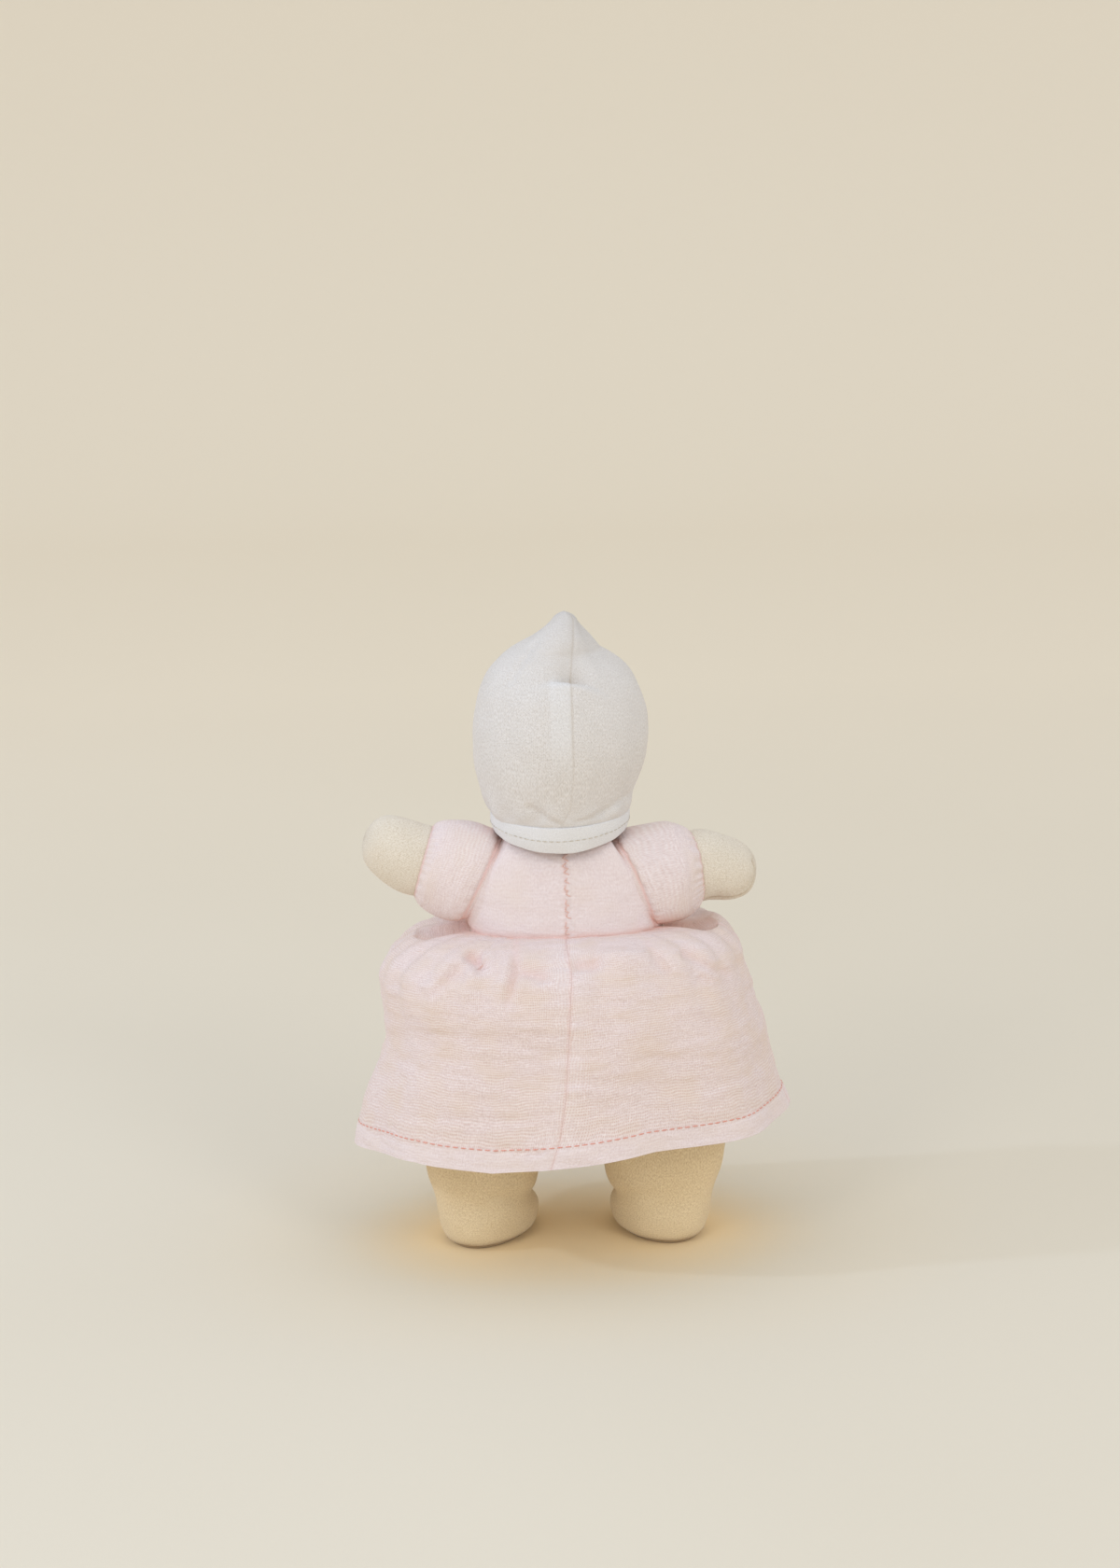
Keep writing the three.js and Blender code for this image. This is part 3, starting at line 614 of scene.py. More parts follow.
def bodice_shape(turn, t):
    """The bodice's oval form, cut flat where the sleeves are set in."""
    points = oval(BODICE, turn, t, 0.74)
    for side in SHOULDERS:
        beyond = beyond_seam(points, side)
        across, deep, along = arm_places(points, side).T
        outside = np.hypot(across, deep / BASE_DEPTHS[side]) / BASE_RADIUS
        above_waist = ease(121, 129, points[:, 2])
        pull = ease(-3.5, 0, beyond) * above_waist
        drawn_in = 1 + pull * (np.minimum(1, 1 / np.maximum(outside, 0.1)) - 1)
        cut_off = along - np.maximum(beyond, 0) * above_waist
        placed = np.stack([across * drawn_in, deep * drawn_in, cut_off], axis=1)
        placed = placed @ np.array(ARM_TURNS[side]).T + SHOULDERS[side]
        points = np.where((points[:, 0] * side > 8)[:, None], placed, points)
    return points


def from_armhole(points):
    """Distance in mm from the nearer seam where a sleeve is set in."""
    return np.min([np.abs(beyond_seam(points, side)) for side in SHOULDERS], axis=0)


print("the shoulders stand", SHOULDERS[1][0] - SHOULDERS[-1][0], "mm apart")

# %% [markdown]
# ### The bodice's panels
# Cloth is drawn in along each seam, so we press a soft groove along the closing, round the armholes and
# above the waist. The closing's stitches pull its edges into small scallops with their own pitch.

# %% Cut and sew the bodice panels
WAIST_GROOVE = 123.0
CLOSING_X = -0.5
CLOSING_PITCH = 2.8
bodice_panels = {"bodice_back_left": (0, math.pi / 2), "bodice_back_right": (math.pi / 2, math.pi),
                 "bodice_front": (math.pi, 2 * math.pi)}


def bodice_relief(points):
    """How far the bodice's cloth stands out, and where it is drawn in."""
    armhole = from_armhole(points)
    behind = points[:, 1] > 0
    side = np.where(points[:, 0] > 0, 1, -1)
    scallops = np.cos(2 * math.pi * points[:, 2] / CLOSING_PITCH + 1.5 * side)
    middle = points[:, 0] - CLOSING_X
    edges = 0.5 * bell(np.abs(middle) - 1.3, 0.9) * (1 + 0.6 * scallops) - 0.6 * bell(middle, 0.5)
    relief = (0.35 * lumps(points, (9, 9, 7)) + fold(armhole, 0.3, 1.3) + behind * edges
              - 0.5 * bell(points[:, 2] - WAIST_GROOVE, 1.3))
    marks = 0.8 * bell(armhole, 0.6) + behind * 0.5 * bell(middle + 0.25 * scallops, 0.3)
    return relief, marks


bodice, cut_points = {}, []
for node, (start, end) in bodice_panels.items():
    wide = 60 * (end - start) / (math.pi / 2)
    panel = cut_cloth(f"sewn_{node}", int(wide * 1.8), 84, (wide, 40),
                      lambda u, v: bodice_shape(start + (end - start) * u, v), pink_gauze)
    points = points_of(panel)
    cut_points.append(points)
    relief, marks = bodice_relief(points)
    press(panel, relief)
    seam_and_shade_marks(panel, marks, 1.0)
    bodice[node] = panel

close_seams(bodice.values(), cut_points)
back_cloth = surface_of(bodice["bodice_back_left"], bodice["bodice_back_right"])
for node, panel in bodice.items():
    thicken(panel, 0.6)
    sewn_to(panel, "torso", "pink_muslin", node)

# %% [markdown]
# ## The closing at the centre back
# After the doll is filled, its back is closed by hand: one thread goes from side to side up the seam and
# pulls the folded edges together. The stitches are short, slanting and the colour of the cloth. Hand
# sewing is never regular, so three sine curves shift each stitch a little, which stays the same in every
# run.

# %% Sew the closing
CLOSING_STITCHES = 11
CLOSING_START = 124.6
BACK = 21.5
closing_ends = []
for i in range(CLOSING_STITCHES):
    height = CLOSING_START + CLOSING_PITCH * i + 0.5 * math.sin(4.1 * i)
    shift, reach = 0.35 * math.sin(2.3 * i), 0.3 + 0.3 * math.sin(5.7 * i + 1)
    top = (reach + shift, BACK, height + 0.7)
    closing_ends += [((-1.5 + shift, BACK, height), top), (top, (-0.3 + shift, BACK, height + 2.3))]
closing = stitch_row("closing_stitches", closing_ends, 0.22, rose_thread, back_cloth, lift=0.9)
sewn_to(closing, "torso", "pink_thread", "back_closing_thread")

# %% [markdown]
# ## Arms
# Each arm is a sleeve of gauze and a hand of jersey over one filling. The sleeve swells between two seams:
# the slanting one where it is set into the bodice, and the cuff where it is turned in and sewn to the
# hand. We shape both along the arm's own axis and then turn them into place, so one list of radii serves
# two arms.

# %% Shape the arms
SIDES = ((1, "left"), (-1, "right"))
FLATNESS = 0.84
SET_IN_ALONG = 1.7
CUFFS = {1: 23, -1: 18.6}
HAND_BENDS = {1: 2.3, -1: 4}
RIGHT_SLEEVE_SHORTER = 4.4
SLEEVE = [[-1.6, 13.6], [0.2, 15.9], [1.7, 16.8], [4, 17.7], [8.5, 18.4], [13, 18.3], [17, 17.3], [20, 15.9],
          [22, 14.7], [23.2, 13.6], [23, 12.5]]
HAND = [[20.5, 12.3], [21.6, 13], [24, 13.5], [28, 13.5], [32, 13.1], [36, 12.4], [40, 11.1], [42.6, 9.5],
        [44.6, 7.2], [46, 4.2], [46.6, 1.9], [46.7, 0]]


def arm_shape(stations, side, turn, t):
    """The arm's form. Its start slants with the seam, and the hand bends up a little."""
    ovals = [[along, radius, radius * FLATNESS, radius * FLATNESS] for along, radius in stations]
    points = oval(ovals, turn, t)
    squared = oval(ovals, turn, t, 0.86)
    near = ease(15, 2, points[:, 2])
    points += (squared - points) * near[:, None]
    points[:, 1] *= 1 + (BASE_DEPTHS[side] / FLATNESS - 1) * near
    place, slope = SET_IN[side]
    points[:, 2] += (place - SET_IN_ALONG + slope * points[:, 0]) * ease(14, 3, points[:, 2])
    points[:, 0] -= HAND_BENDS[side] * ease(25, 43, points[:, 2]) - 0.3
    if side < 0:
        points[:, 2] -= RIGHT_SLEEVE_SHORTER * ease(5, 22, points[:, 2])
    return points @ np.array(ARM_TURNS[side]).T + SHOULDERS[side]


print("the sleeves end", CUFFS[1], "and", CUFFS[-1], "mm along the arms")

# %% [markdown]
# ### Sleeves
# A sleeve is a tube of gauze, gathered at both ends, so small puckers stand round the cuff and the
# shoulder. The form and the puckers are ours, and the swelling between them is left to the simulation.

# %% A function that sews a sleeve
def sew_sleeve(side, name):
    """A gauze sleeve, drawn in at its seam and its cuff."""
    sleeve = cut_cloth(f"sewn_{name}_sleeve", 150, 64, (112, 40),
                       lambda u, v: arm_shape(SLEEVE, side, 2 * math.pi * u, v), pink_gauze, weld=True)
    points = points_of(sleeve)
    cuff = CUFFS[side]
    across, deep, along = arm_places(points, side).T
    outside = beyond_seam(points, side)
    round_arm = np.arctan2(deep, across)
    puckers = 0.16 * np.cos(26 * round_arm + 4 * np.sin(3 * round_arm)) * (1 + 1.4 * (side < 0))
    press(sleeve, 0.45 * lumps(points, (8, 8, 8), side) + puckers * bell(along - cuff + 2, 2.6)
          + 0.4 * puckers * bell(outside - 2, 2))
    stuff(sleeve, (outside < 0.6) | (along > cuff - 0.4), 0.045, 1.0)
    seam_and_shade_marks(sleeve, 0.8 * bell(outside, 0.6) + 0.7 * bell(along - cuff, 0.5), 0.5)
    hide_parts(f"{name}_sleeve")
    print(f"{sleeve.name}: {len(sleeve.data.polygons)} faces, sewn to the torso and the hand")

# %% [markdown]
# ### Hands
# A hand is a small jersey bag with one seam along its underside, and no fingers. It is stuffed as well,
# and its seam and the cuff are held while it swells.

# %% Sew the arms
def sew_hand(side, name):
    """A jersey hand with one seam along its underside."""
    hand = cut_cloth(f"sewn_{name}_hand", 110, 60, (80, 40),
                     lambda u, v: arm_shape(HAND, side, 2 * math.pi * u, v), cream_jersey, weld=True)
    points = points_of(hand)
    cuff = CUFFS[side]
    across, deep, along = arm_places(points, side).T
    under = np.where(across * side > 0, np.abs(deep + (2 if side > 0 else -5)), 99)
    past_cuff = ease(cuff, cuff + 4, along)
    press(hand, 0.35 * lumps(points, (8, 8, 8), 5 * side) + fold(under, 0.7, 1.3) * past_cuff)
    stuff(hand, (along < cuff + 0.4) | (under < 0.5), 0.02, 0.6)
    seam_and_shade_marks(hand, bell(under, 0.7) * past_cuff + bell(along - cuff + 0.6, 0.8))
    sewn_to(hand, f"{name}_arm", "cream_jersey", f"{name}_hand_cover", f"{name}_arm_filling")


for side, name in SIDES:
    sew_sleeve(side, name)
    sew_hand(side, name)

# %% [markdown]
# ### The sleeves' placement
# A sleeve crosses the shoulder, where the arm bends. It could ride on the arm alone, but then its seam
# would leave the bodice. Here its placement is only baked into its mesh, and it is not attached to a body.

# %% Bake the sleeves' placement
for side, name in SIDES:
    sleeve = bpy.data.objects[f"sewn_{name}_sleeve"]
    axis = np.array(ARM_TURNS[side])[:, 2]
    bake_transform(sleeve)
    print(f"{sleeve.name} bends from 1 to 13 mm along the {name} arm")

# %% [markdown]
# ## The lower body
# Under the skirt a plain jersey bag holds the body's filling. It hardly shows, so one form with soft lumps
# is enough.

# %% Sew the lower body
seat = cut_cloth("sewn_seat", 120, 60, (220, 60),
                 lambda u, v: oval(SEAT, 2 * math.pi * u, v, 0.74), cream_jersey, weld=True)
press(seat, 0.3 * lumps(points_of(seat), (12, 12, 12)))
sewn_to(seat, "torso", "cream_jersey", "seat_cover", "torso_filling")

# %% [markdown]
# ## Legs
# The legs are jersey, short and plump, with a fold round the ankle and feet whose toes turn in. The soles
# are flat, because the doll stands on them, and a round root lets each leg swing in its hollow.

# %% Shape the legs
SOLE = -62
HIP_X, HIP_HEIGHT = 34.5, 62
TOES_TURN = 22
LEG = [[-62.5, 0, -3, 3], [-62.5, 11.5, 12.5, 23], [-60.4, 14.8, 16.2, 27.4], [-57, 16.8, 18.2, 29.2],
       [-52, 18, 18.6, 27.6], [-44, 18.9, 17.4, 19.4], [-35, 21, 18.8, 19.2], [-24, 22.6, 19.8, 19.8],
       [-12, 21, 19.4, 19.4], [0, 19.3, 19, 19], [5.9, 18.1, 18.1, 18.1], [11.2, 15.4, 15.4, 15.4],
       [15.4, 11.2, 11.2, 11.2], [18.1, 5.9, 5.9, 5.9], [19, 0, 0, 0]]


def leg_shape(side, turn, t):
    """A leg's form, with a flat sole and the toes turned in. The right calf is a little fuller."""
    points = oval(LEG, turn, t)
    points[:, 2] = np.maximum(points[:, 2], SOLE)
    if side < 0:
        points[:, 0] *= 1 + 0.07 * ease(-52, -36, points[:, 2]) * ease(0, -20, points[:, 2])
    twist = np.array(Matrix.Rotation(math.radians(-TOES_TURN * side), 3, "Z"))
    return points @ twist.T + (HIP_X * side, 0, HIP_HEIGHT)


print("the toes turn by", TOES_TURN, "degrees")

# %% [markdown]
# ### The legs' cloth
# The ankle's fold is pressed along a line of four points on the leg's inner side. The leg is then stuffed,
# with its sole and its root held, so the sole stays flat on the floor.

# %% Sew the legs
for side, name in SIDES:
    leg = cut_cloth(f"sewn_{name}_leg", 150, 120, (120, 100),
                    lambda u, v: leg_shape(side, 2 * math.pi * u, v), leg_jersey, weld=True)
    points = points_of(leg)
    height = points[:, 2]
    ankle = away(points, (side * 14, -8, 15), (side * 16, 3, 17.5), (side * 21, 13, 20),
                 (side * 30, 18, 22.5))
    press(leg, ease(0.2, 3, height) * (0.5 * lumps(points, (13, 13, 10), side)
                                       + fold(ankle, 1.3, 3.2) * ease(38, 22, side * points[:, 0])))
    stuff(leg, (height < 2) | (height > 52), 0.02, 0.7)
    # Painted shade: the lowest 5 mm darken towards the sole, where the floor shadows it.
    seam_and_shade_marks(leg, ease(5, 0.5, height))
    sewn_to(leg, f"{name}_leg", "cream_jersey", f"{name}_leg_cover", f"{name}_leg_filling")

# %% [markdown]
# ## The skirt
# The skirt is a wide strip of gauze, gathered at the waist. It stands out in a soft puff, dips under each
# arm and falls to a hem that waves. A simulation would drop it in its own way each time, so the form is
# drawn: the gathers are grooves, each with its own place in degrees and depth, that start at the waist and
# fade downwards.

# %% Shape the skirt
SKIRT = [[44, 80.8, 54.5, 54.5], [60, 77, 52.3, 52.3], [75, 72.8, 50.8, 50.8], [88, 69.4, 49.5, 49.5],
         [101, 68.2, 48.2, 48.6], [112, 66, 44.5, 46.5], [119.5, 58, 37.5, 41], [122.8, 47, 29.5, 32.5],
         [123.6, 38, 23.4, 25.8], [122.6, 32, 17, 19]]
GATHERS = [(10, 1.4), (26, 2.0), (43, 1.2), (57, 2.6), (69, 2.4), (99, 1.6), (118, 1.0), (134, 1.8),
           (150, 1.2), (168, 1.6), (186, 1.7), (203, 2.3), (219, 1.6), (233, 2.3), (249, 1.9), (266, 2.2),
           (281, 1.7), (297, 2.4), (314, 1.8), (330, 2.2), (346, 1.7)]
HEM_TURNS = (0, 30, 47, 70, 85, 100, 110, 150, 180, 225, 270, 315, 360)
HEM_HEIGHTS = (40, 44, 45.2, 43.2, 45.3, 48.3, 49.8, 49.4, 49.4, 47, 45, 42, 40)
BACK_SEAM_HEIGHTS = (44, 55, 70, 85, 100, 115, 124)
BACK_SEAM_PLACES = (8, 4.3, 1.9, 0.8, -0.4, -1.4, 0.3)


def skirt_shape(turn, t):
    """The skirt's form, with its gathers, its dips under the arms and its waving hem."""
    fullness = 0.92 - 0.18 * t
    height, half_width = through(SKIRT, t).T[:2]
    middle = 2.5 * bell(height - 108, 9) - 1.9 * bell(height - 82, 10)
    aside = (np.interp(height, BACK_SEAM_HEIGHTS, BACK_SEAM_PLACES) - middle) / half_width
    drift = -np.arcsin(np.sign(aside) * np.abs(aside) ** (1 / fullness))
    turn = turn + drift * bell(turn - math.pi / 2, 0.7)
    points = oval(SKIRT, turn, t, fullness)
    points[:, 0] += middle
    dip = 6 * bell(np.sin(turn) - 0.04, 0.17) + 5 * bell(turn - math.radians(207), 0.45)
    dip *= np.sin(math.pi * np.minimum(1, 3.2 * (1 - t))) ** 0.7
    near_waist = ease(0.25, 0.75, t) * ease(1.0, 0.9, t)
    gathers = 0 * turn
    for place, depth in GATHERS:
        off = (np.degrees(turn) - place + 180) % 360 - 180
        gathers = gathers - depth * bell(off, 3.2 + 2.2 * (1 - t)) + 0.45 * depth * bell(np.abs(off) - 6, 4)
    waves = 1.5 * np.sin(8 * turn + 1) * (1 - t) ** 2
    out = 1 + (gathers * near_waist + waves) / np.hypot(points[:, 0], points[:, 1])
    points[:, :2] *= out[:, None]
    hem = np.interp(np.degrees(turn) % 360, HEM_TURNS, HEM_HEIGHTS)
    points[:, 2] += (hem - SKIRT[0][0]) * (1 - t) ** 1.5 - dip
    return points


print("the hem's height runs from", min(HEM_HEIGHTS), "to", max(HEM_HEIGHTS), "mm")

# %% [markdown]
# ### The skirt's creases
# Below the waist the gauze puffs out and folds over itself, mostly at the back. Each crease is a short
# line with a depth and a width. The gauze's crinkles run across the skirt, and the hem, turned up by 7 mm,
# is thicker. The creases get painted shade, carried by the same value as the seams.

# %% Shape the skirt's creases
HEM_TURN_UP = 7.4
PUFF = 3.6
CREASES = [([(35, 120.5), (31, 118.5)], 3.4, 2.8), ([(18.5, 124), (19.5, 116), (23, 103)], 2.8, 2.4),
           ([(16, 117), (9, 115.5)], 2.6, 2.8), ([(-4, 119), (-10, 118.5)], 2.6, 2.6),
           ([(-43, 119), (-51, 114.5), (-59, 108)], 1.4, 1.8), ([(-49, 110), (-61, 103.5)], 1.2, 1.7),
           ([(-30, 122), (-36, 115)], 1.3, 2.4), ([(40, 116), (52, 107)], 1.2, 2.2)]
back_seam = skirt_shape(math.pi / 2 + np.zeros(131), np.linspace(0, 1, 131))


def skirt_relief(points):
    """How far the skirt's cloth stands out, where it is drawn in at seams, where its creases get painted
    shade, and where it lies double.
    """
    x, y, z = points.T
    turn = np.arctan2(y, x)
    off_back = np.abs(x - np.interp(z, back_seam[:, 2], back_seam[:, 0]))
    seam = np.minimum(np.abs(y) + 1000 * (np.abs(x) < 20), off_back + 1000 * (y < 0))
    flat = np.stack([turn * 70, z, 0 * turn], axis=1)
    crinkles = 0.55 * lumps(flat, (26, 5, 9)) + 0.25 * lumps(flat, (9, 2.6, 9), 4)
    swell = 0.9 * lumps(points, (24, 24, 20), 2)
    swell += PUFF * (y > 15) * bell(x + 21, 10) * bell(z - 121, 4)
    seam_and_crease_shade = 0.3 * bell(seam, 0.6)
    upper_back = (y > 10) * ease(101, 115, z)
    for line, depth, width in CREASES:
        off_crease = away(points[:, [0, 2]], *line)
        swell += upper_back * fold(off_crease, depth, width)
        # Painted shade along each crease, deeper for deeper creases.
        seam_and_crease_shade += upper_back * 0.09 * depth * bell(off_crease, 1.6)
    hem = (z - np.interp(np.degrees(turn) % 360, HEM_TURNS, HEM_HEIGHTS)) < HEM_TURN_UP
    relief = (crinkles + swell) * ease(123, 119, z) + fold(seam, 0.25, 1.8) + 0.35 * hem
    return relief, seam_and_crease_shade, 0.7 * hem + 0.3 * bell(seam - 3, 3)


print("the skirt has", len(GATHERS), "gathers, and", len(CREASES), "creases below the waist")

# %% [markdown]
# ### The skirt's panels
# The front is one panel and the back two, with a seam in the middle that wanders a little. All three are
# cut from the same form, pressed, and then joined at their seams.

# %% Cut and sew the skirt panels
SKIRT_SEAMS = {"front": (math.pi, 2 * math.pi), "back_left": (0, math.pi / 2),
               "back_right": (math.pi / 2, math.pi)}
skirt, cut_points = {}, []
for part, (start, end) in SKIRT_SEAMS.items():
    wide = 216 * (end - start) / math.pi
    panel = cut_cloth(f"sewn_skirt_{part}", int(wide * 1.25), 130, (wide * 1.15, 112),
                      lambda u, v: skirt_shape(start + (end - start) * u, v), pink_gauze)
    points = points_of(panel)
    cut_points.append(points)
    relief, seam_and_crease_shade, doubled = skirt_relief(points)
    press(panel, relief)
    seam_and_shade_marks(panel, seam_and_crease_shade, doubled)
    skirt[part] = panel
close_seams(skirt.values(), cut_points)
skirt_cloth = surface_of(*skirt.values())

for part, panel in skirt.items():
    thicken(panel, 0.55)
    sewn_to(panel, "torso", "pink_muslin", f"skirt_{part}")

# %% [markdown]
# ## The bonnet
# The bonnet is two jersey halves that meet in one seam over the back of the head and rise to a soft point.
# One form gives both, and its middle and its seam each have their own way up, because the real one leans.

# %% Shape the bonnet
BONNET = [[160.2, 22.2, 22.6, 18.9], [164, 23.6, 24, 20.2], [166.6, 25.2, 25.4, 21.8],
          [169, 26.4, 26.2, 24.2], [174, 28, 27.6, 29.2], [184, 31.2, 30.3, 30.4], [193, 32.4, 31.6, 30.1],
          [200, 32.3, 31.4, 29.8], [206.7, 31.2, 30.2, 29.2], [214, 29.1, 28.2, 26.6], [220, 25.9, 25, 24],
          [225, 20.9, 21.6, 19.6], [228.1, 16.8, 19.4, 15.4], [230.4, 14.2, 18.4, 11.4],
          [233.5, 10.6, 16.8, 6.4], [238, 5.9, 13.4, -1], [241.4, 3.2, 10.4, -5.2], [243, 0, 8, -8]]
MIDDLE_HEIGHTS = (160, 166, 174, 184, 193, 206, 216, 223, 228, 233, 240)
MIDDLES = (1.2, 1.2, 2, 1.1, 0.4, 0.1, 0.2, 0.6, 1.4, -0.6, -2.2)
SEAM_HEIGHTS = (160, 166, 172, 182, 190, 220, 232, 240, 243)
SEAM_PLACES = (2.5, 1.2, -2.4, -3.9, -4.2, -4.2, -5.3, -5.5, -4)


def hood_shape(turn, t):
    """The bonnet's form. Its seam wanders off the middle, and the point leans with it."""
    height, half_width = through(BONNET, t).T[:2]
    middle = np.interp(height, MIDDLE_HEIGHTS, MIDDLES)
    aside = middle - np.interp(height, SEAM_HEIGHTS, SEAM_PLACES)
    drift = np.arcsin(np.clip(aside / np.maximum(half_width, 1), -0.8, 0.8))
    points = oval(BONNET, turn + drift * bell(turn - math.pi / 2, 0.9), t)
    points[:, 0] += middle
    return points


def hood(name, start, end, columns, rows, material, weld=False):
    """The bonnet's cloth over a range of turn, before the face opening is cut."""
    return cut_cloth(name, columns, rows, ((end - start) * 30, 95),
                     lambda u, v: hood_shape(start + (end - start) * u, v), material, weld)


print("the bonnet's point stands at", BONNET[-1][0], "mm")

# %% [markdown]
# ### The face opening
# A maker cuts the face opening off in one slanting line, and Blender's bisect tool does the same along a
# plane. The bonnet keeps what lies behind the cut, and the face band takes the strip in front of it.

# %% Helpers for the face opening
OPENING_SLOPE = math.radians(17.5)
OPENING_EDGE = Vector((0, -12, 165))
BAND_START, BONNET_EDGE = 7.0, 7.3


def trimmed(piece, cuts):
    """Cuts a piece at each (distance behind the opening's edge in mm, whether what lies behind is kept)."""
    bm = bmesh.new()
    bm.from_mesh(piece.data)
    backwards = Vector((0, math.cos(OPENING_SLOPE), math.sin(OPENING_SLOPE)))
    for distance, keep_behind in cuts:
        bmesh.ops.bisect_plane(bm, geom=bm.verts[:] + bm.edges[:] + bm.faces[:], dist=1e-7,
                               plane_co=(OPENING_EDGE + backwards * distance) * MM, plane_no=backwards,
                               clear_inner=keep_behind, clear_outer=not keep_behind)
    bm.to_mesh(piece.data)
    print(f"{piece.name}: {len(bm.faces)} faces after the cut")
    bm.free()

# %% [markdown]
# ### The bonnet's folds
# A fold crosses the back below the point, because the cloth stands up off the crown there, and short folds
# stand above the neck's band, where the cloth is drawn in. To one side of the seam the cloth lies double,
# as the seam's edges are pressed that way. Each of these is one soft bell or fold, so it can be moved by
# one number.

# %% Shape the bonnet's folds
FOLD_X, FOLD_DEPTH = -4, 3.8
NECK_FOLDS = ([(12, 174), (7, 170.5), (2, 167)], [(-5, 167), (-14, 170), (-23, 174)])
seam_line = hood_shape(math.pi / 2 + np.zeros(151), np.linspace(0, 1, 151))


def bonnet_relief(points):
    """How far the bonnet's cloth stands out, where it is drawn in at the seam, where its fold gets painted
    shade, and where it lies double.
    """
    x, y, z = points.T
    behind = ease(5, 12, y)
    off_seam = x - np.interp(z, seam_line[:, 2], seam_line[:, 0])
    seam = np.abs(off_seam)
    doubled = ease(8.6, 7, off_seam) * ease(-0.2, 0.4, off_seam) * behind * ease(226, 220, z)
    aside = x - FOLD_X
    above_fold = z - 221 - 0.16 * aside + 0.022 * aside ** 2
    fading = np.where(above_fold > 0, np.exp(-above_fold / 5), bell(above_fold, 1.3))
    folded = bell(aside, 7.5) * behind * fading
    pull = away(points, (7, 12, 237), (12, 16, 228), (17, 18, 219))
    gathers = 0.5 * np.cos(13 * np.arctan2(y, x)) + 0.4 * lumps(points, (5, 5, 9), 3)
    above_band = bell(z - 170, 3.5) * gathers
    for line in NECK_FOLDS:
        above_band += (y > 0) * fold(away(points[:, [0, 2]], *line), 0.9, 1.7)
    relief = (0.35 * lumps(points, (14, 14, 11), 7) + fold(seam, 0.12, 0.8) * behind + 0.15 * doubled
              - FOLD_DEPTH * folded + 0.6 * bell(above_fold + 2.4, 2) * bell(aside, 7)
              + fold(pull, 0.8, 2.0) + above_band * ease(166, 169, z))
    marks = bell(seam, 0.35) * behind * (0.15 + 0.25 * ease(180, 200, z))
    # Painted shade in the hollow above the fold.
    marks += 0.6 * folded ** 1.5 * (above_fold > -0.5)
    return relief, marks, 0.55 * doubled * ease(180, 210, z)


print("the bonnet's seam starts at", seam_line[0].round(1), "and ends at", seam_line[-1].round(1))

# %% [markdown]
# ### The bonnet's halves
# Each half is a grid over its side of the form, trimmed at the face and pressed. The two then meet at the
# seam.

# %% Cut and sew the bonnet
halves = {"left": (-math.pi / 2, math.pi / 2), "right": (math.pi / 2, 3 * math.pi / 2)}
bonnet, cut_points = {}, []
for name, (start, end) in halves.items():
    half = hood(f"sewn_bonnet_{name}", start, end, 130, 150, white_jersey)
    trimmed(half, [(BONNET_EDGE, True)])
    points = points_of(half)
    cut_points.append(points)
    relief, marks, doubled = bonnet_relief(points)
    press(half, relief)
    seam_and_shade_marks(half, marks, doubled)
    bonnet[name] = half

close_seams(bonnet.values(), cut_points)
for name, half in bonnet.items():
    thicken(half, 0.55)
    sewn_to(half, "head", "white_jersey", f"bonnet_{name}_panel")

# %% [markdown]
# ## The bonnet's bands
# Both edges of the bonnet are finished with a doubled strip of jersey. A doubled edge is thick and round,
# so the strips get over a millimetre of thickness and a bevel. The one round the face is cut from the
# bonnet's own form, so that it fits without a gap.

# %% Sew the face band
BAND_THICKNESS, BAND_BEVEL = 1.0, 0.4
face_band = hood("sewn_face_band", 0, 2 * math.pi, 240, 150, white_jersey, weld=True)
trimmed(face_band, [(BAND_START, False), (0.0, True)])
press(face_band, 0.4 + 0.25 * lumps(points_of(face_band), (7, 7, 7)))
seam_and_shade_marks(face_band, 0.0)
thicken(face_band, BAND_THICKNESS, BAND_BEVEL)
sewn_to(face_band, "head", "white_jersey", "bonnet_face_band")

# %% [markdown]
# ### The band round the neck
# This band is a closed ring that is lifted at the sides and narrower under the chin, so it has a form of
# its own: a ring with a radius and two edge heights that change with the turn.

# %% Sew the neck's band
def nape_shape(turn, t):
    """A ring round the neck, lifted over the shoulders and narrower in front."""
    sideways = np.cos(turn) ** 2
    forwards = np.where(np.sin(turn) < 0, np.sin(turn) ** 2, 0)
    low = 156 + 4 * sideways + 2 * forwards
    high = 166 + sideways - forwards
    radius = 24.6 + 1.2 * t - 3 * forwards + 0.5 * np.sin(math.pi * t)
    return np.stack([radius * np.cos(turn) + 1.2, radius * np.sin(turn), low + (high - low) * t], axis=1)


nape_band = cut_cloth("sewn_nape_band", 220, 16, (155, 10),
                      lambda u, v: nape_shape(2 * math.pi * u, v), white_jersey, weld=True)
points = points_of(nape_band)
press(nape_band, 0.3 * lumps(points, (8, 8, 6), 9))
seam_and_shade_marks(nape_band, 0.0, 1.0)
band_cloth = surface_of(nape_band)
thicken(nape_band, BAND_THICKNESS, BAND_BEVEL)
sewn_to(nape_band, "head", "white_jersey", "bonnet_nape_band")

# %% [markdown]
# ### The band's topstitching
# One row of white stitches runs along the middle of the neck's band and holds its folded edge. The
# stitches are placed by turn, because the ring is nearly round.

# %% Topstitch the neck's band
BAND_STITCHES = 67
STITCH_TURN = 0.066
band_turns = np.linspace(0, 2 * math.pi, BAND_STITCHES, endpoint=False)
band_starts = nape_shape(band_turns, 0.5 + 0 * band_turns)
band_ends = nape_shape(band_turns + STITCH_TURN, 0.5 + 0 * band_turns)
band_stitches = stitch_row("band_stitches", zip(band_starts, band_ends), 0.2, white_thread, band_cloth)
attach(band_stitches, "head")

# %% [markdown]
# ## The rubber head
# The head is cast hollow from soft rubber. It is an oval form with small swellings and hollows for the
# nose, lips, cheeks, lids and chin. Sculpting them would need a steady hand, and a list of soft bells with
# places and sizes does the same. The face is calm and asleep.

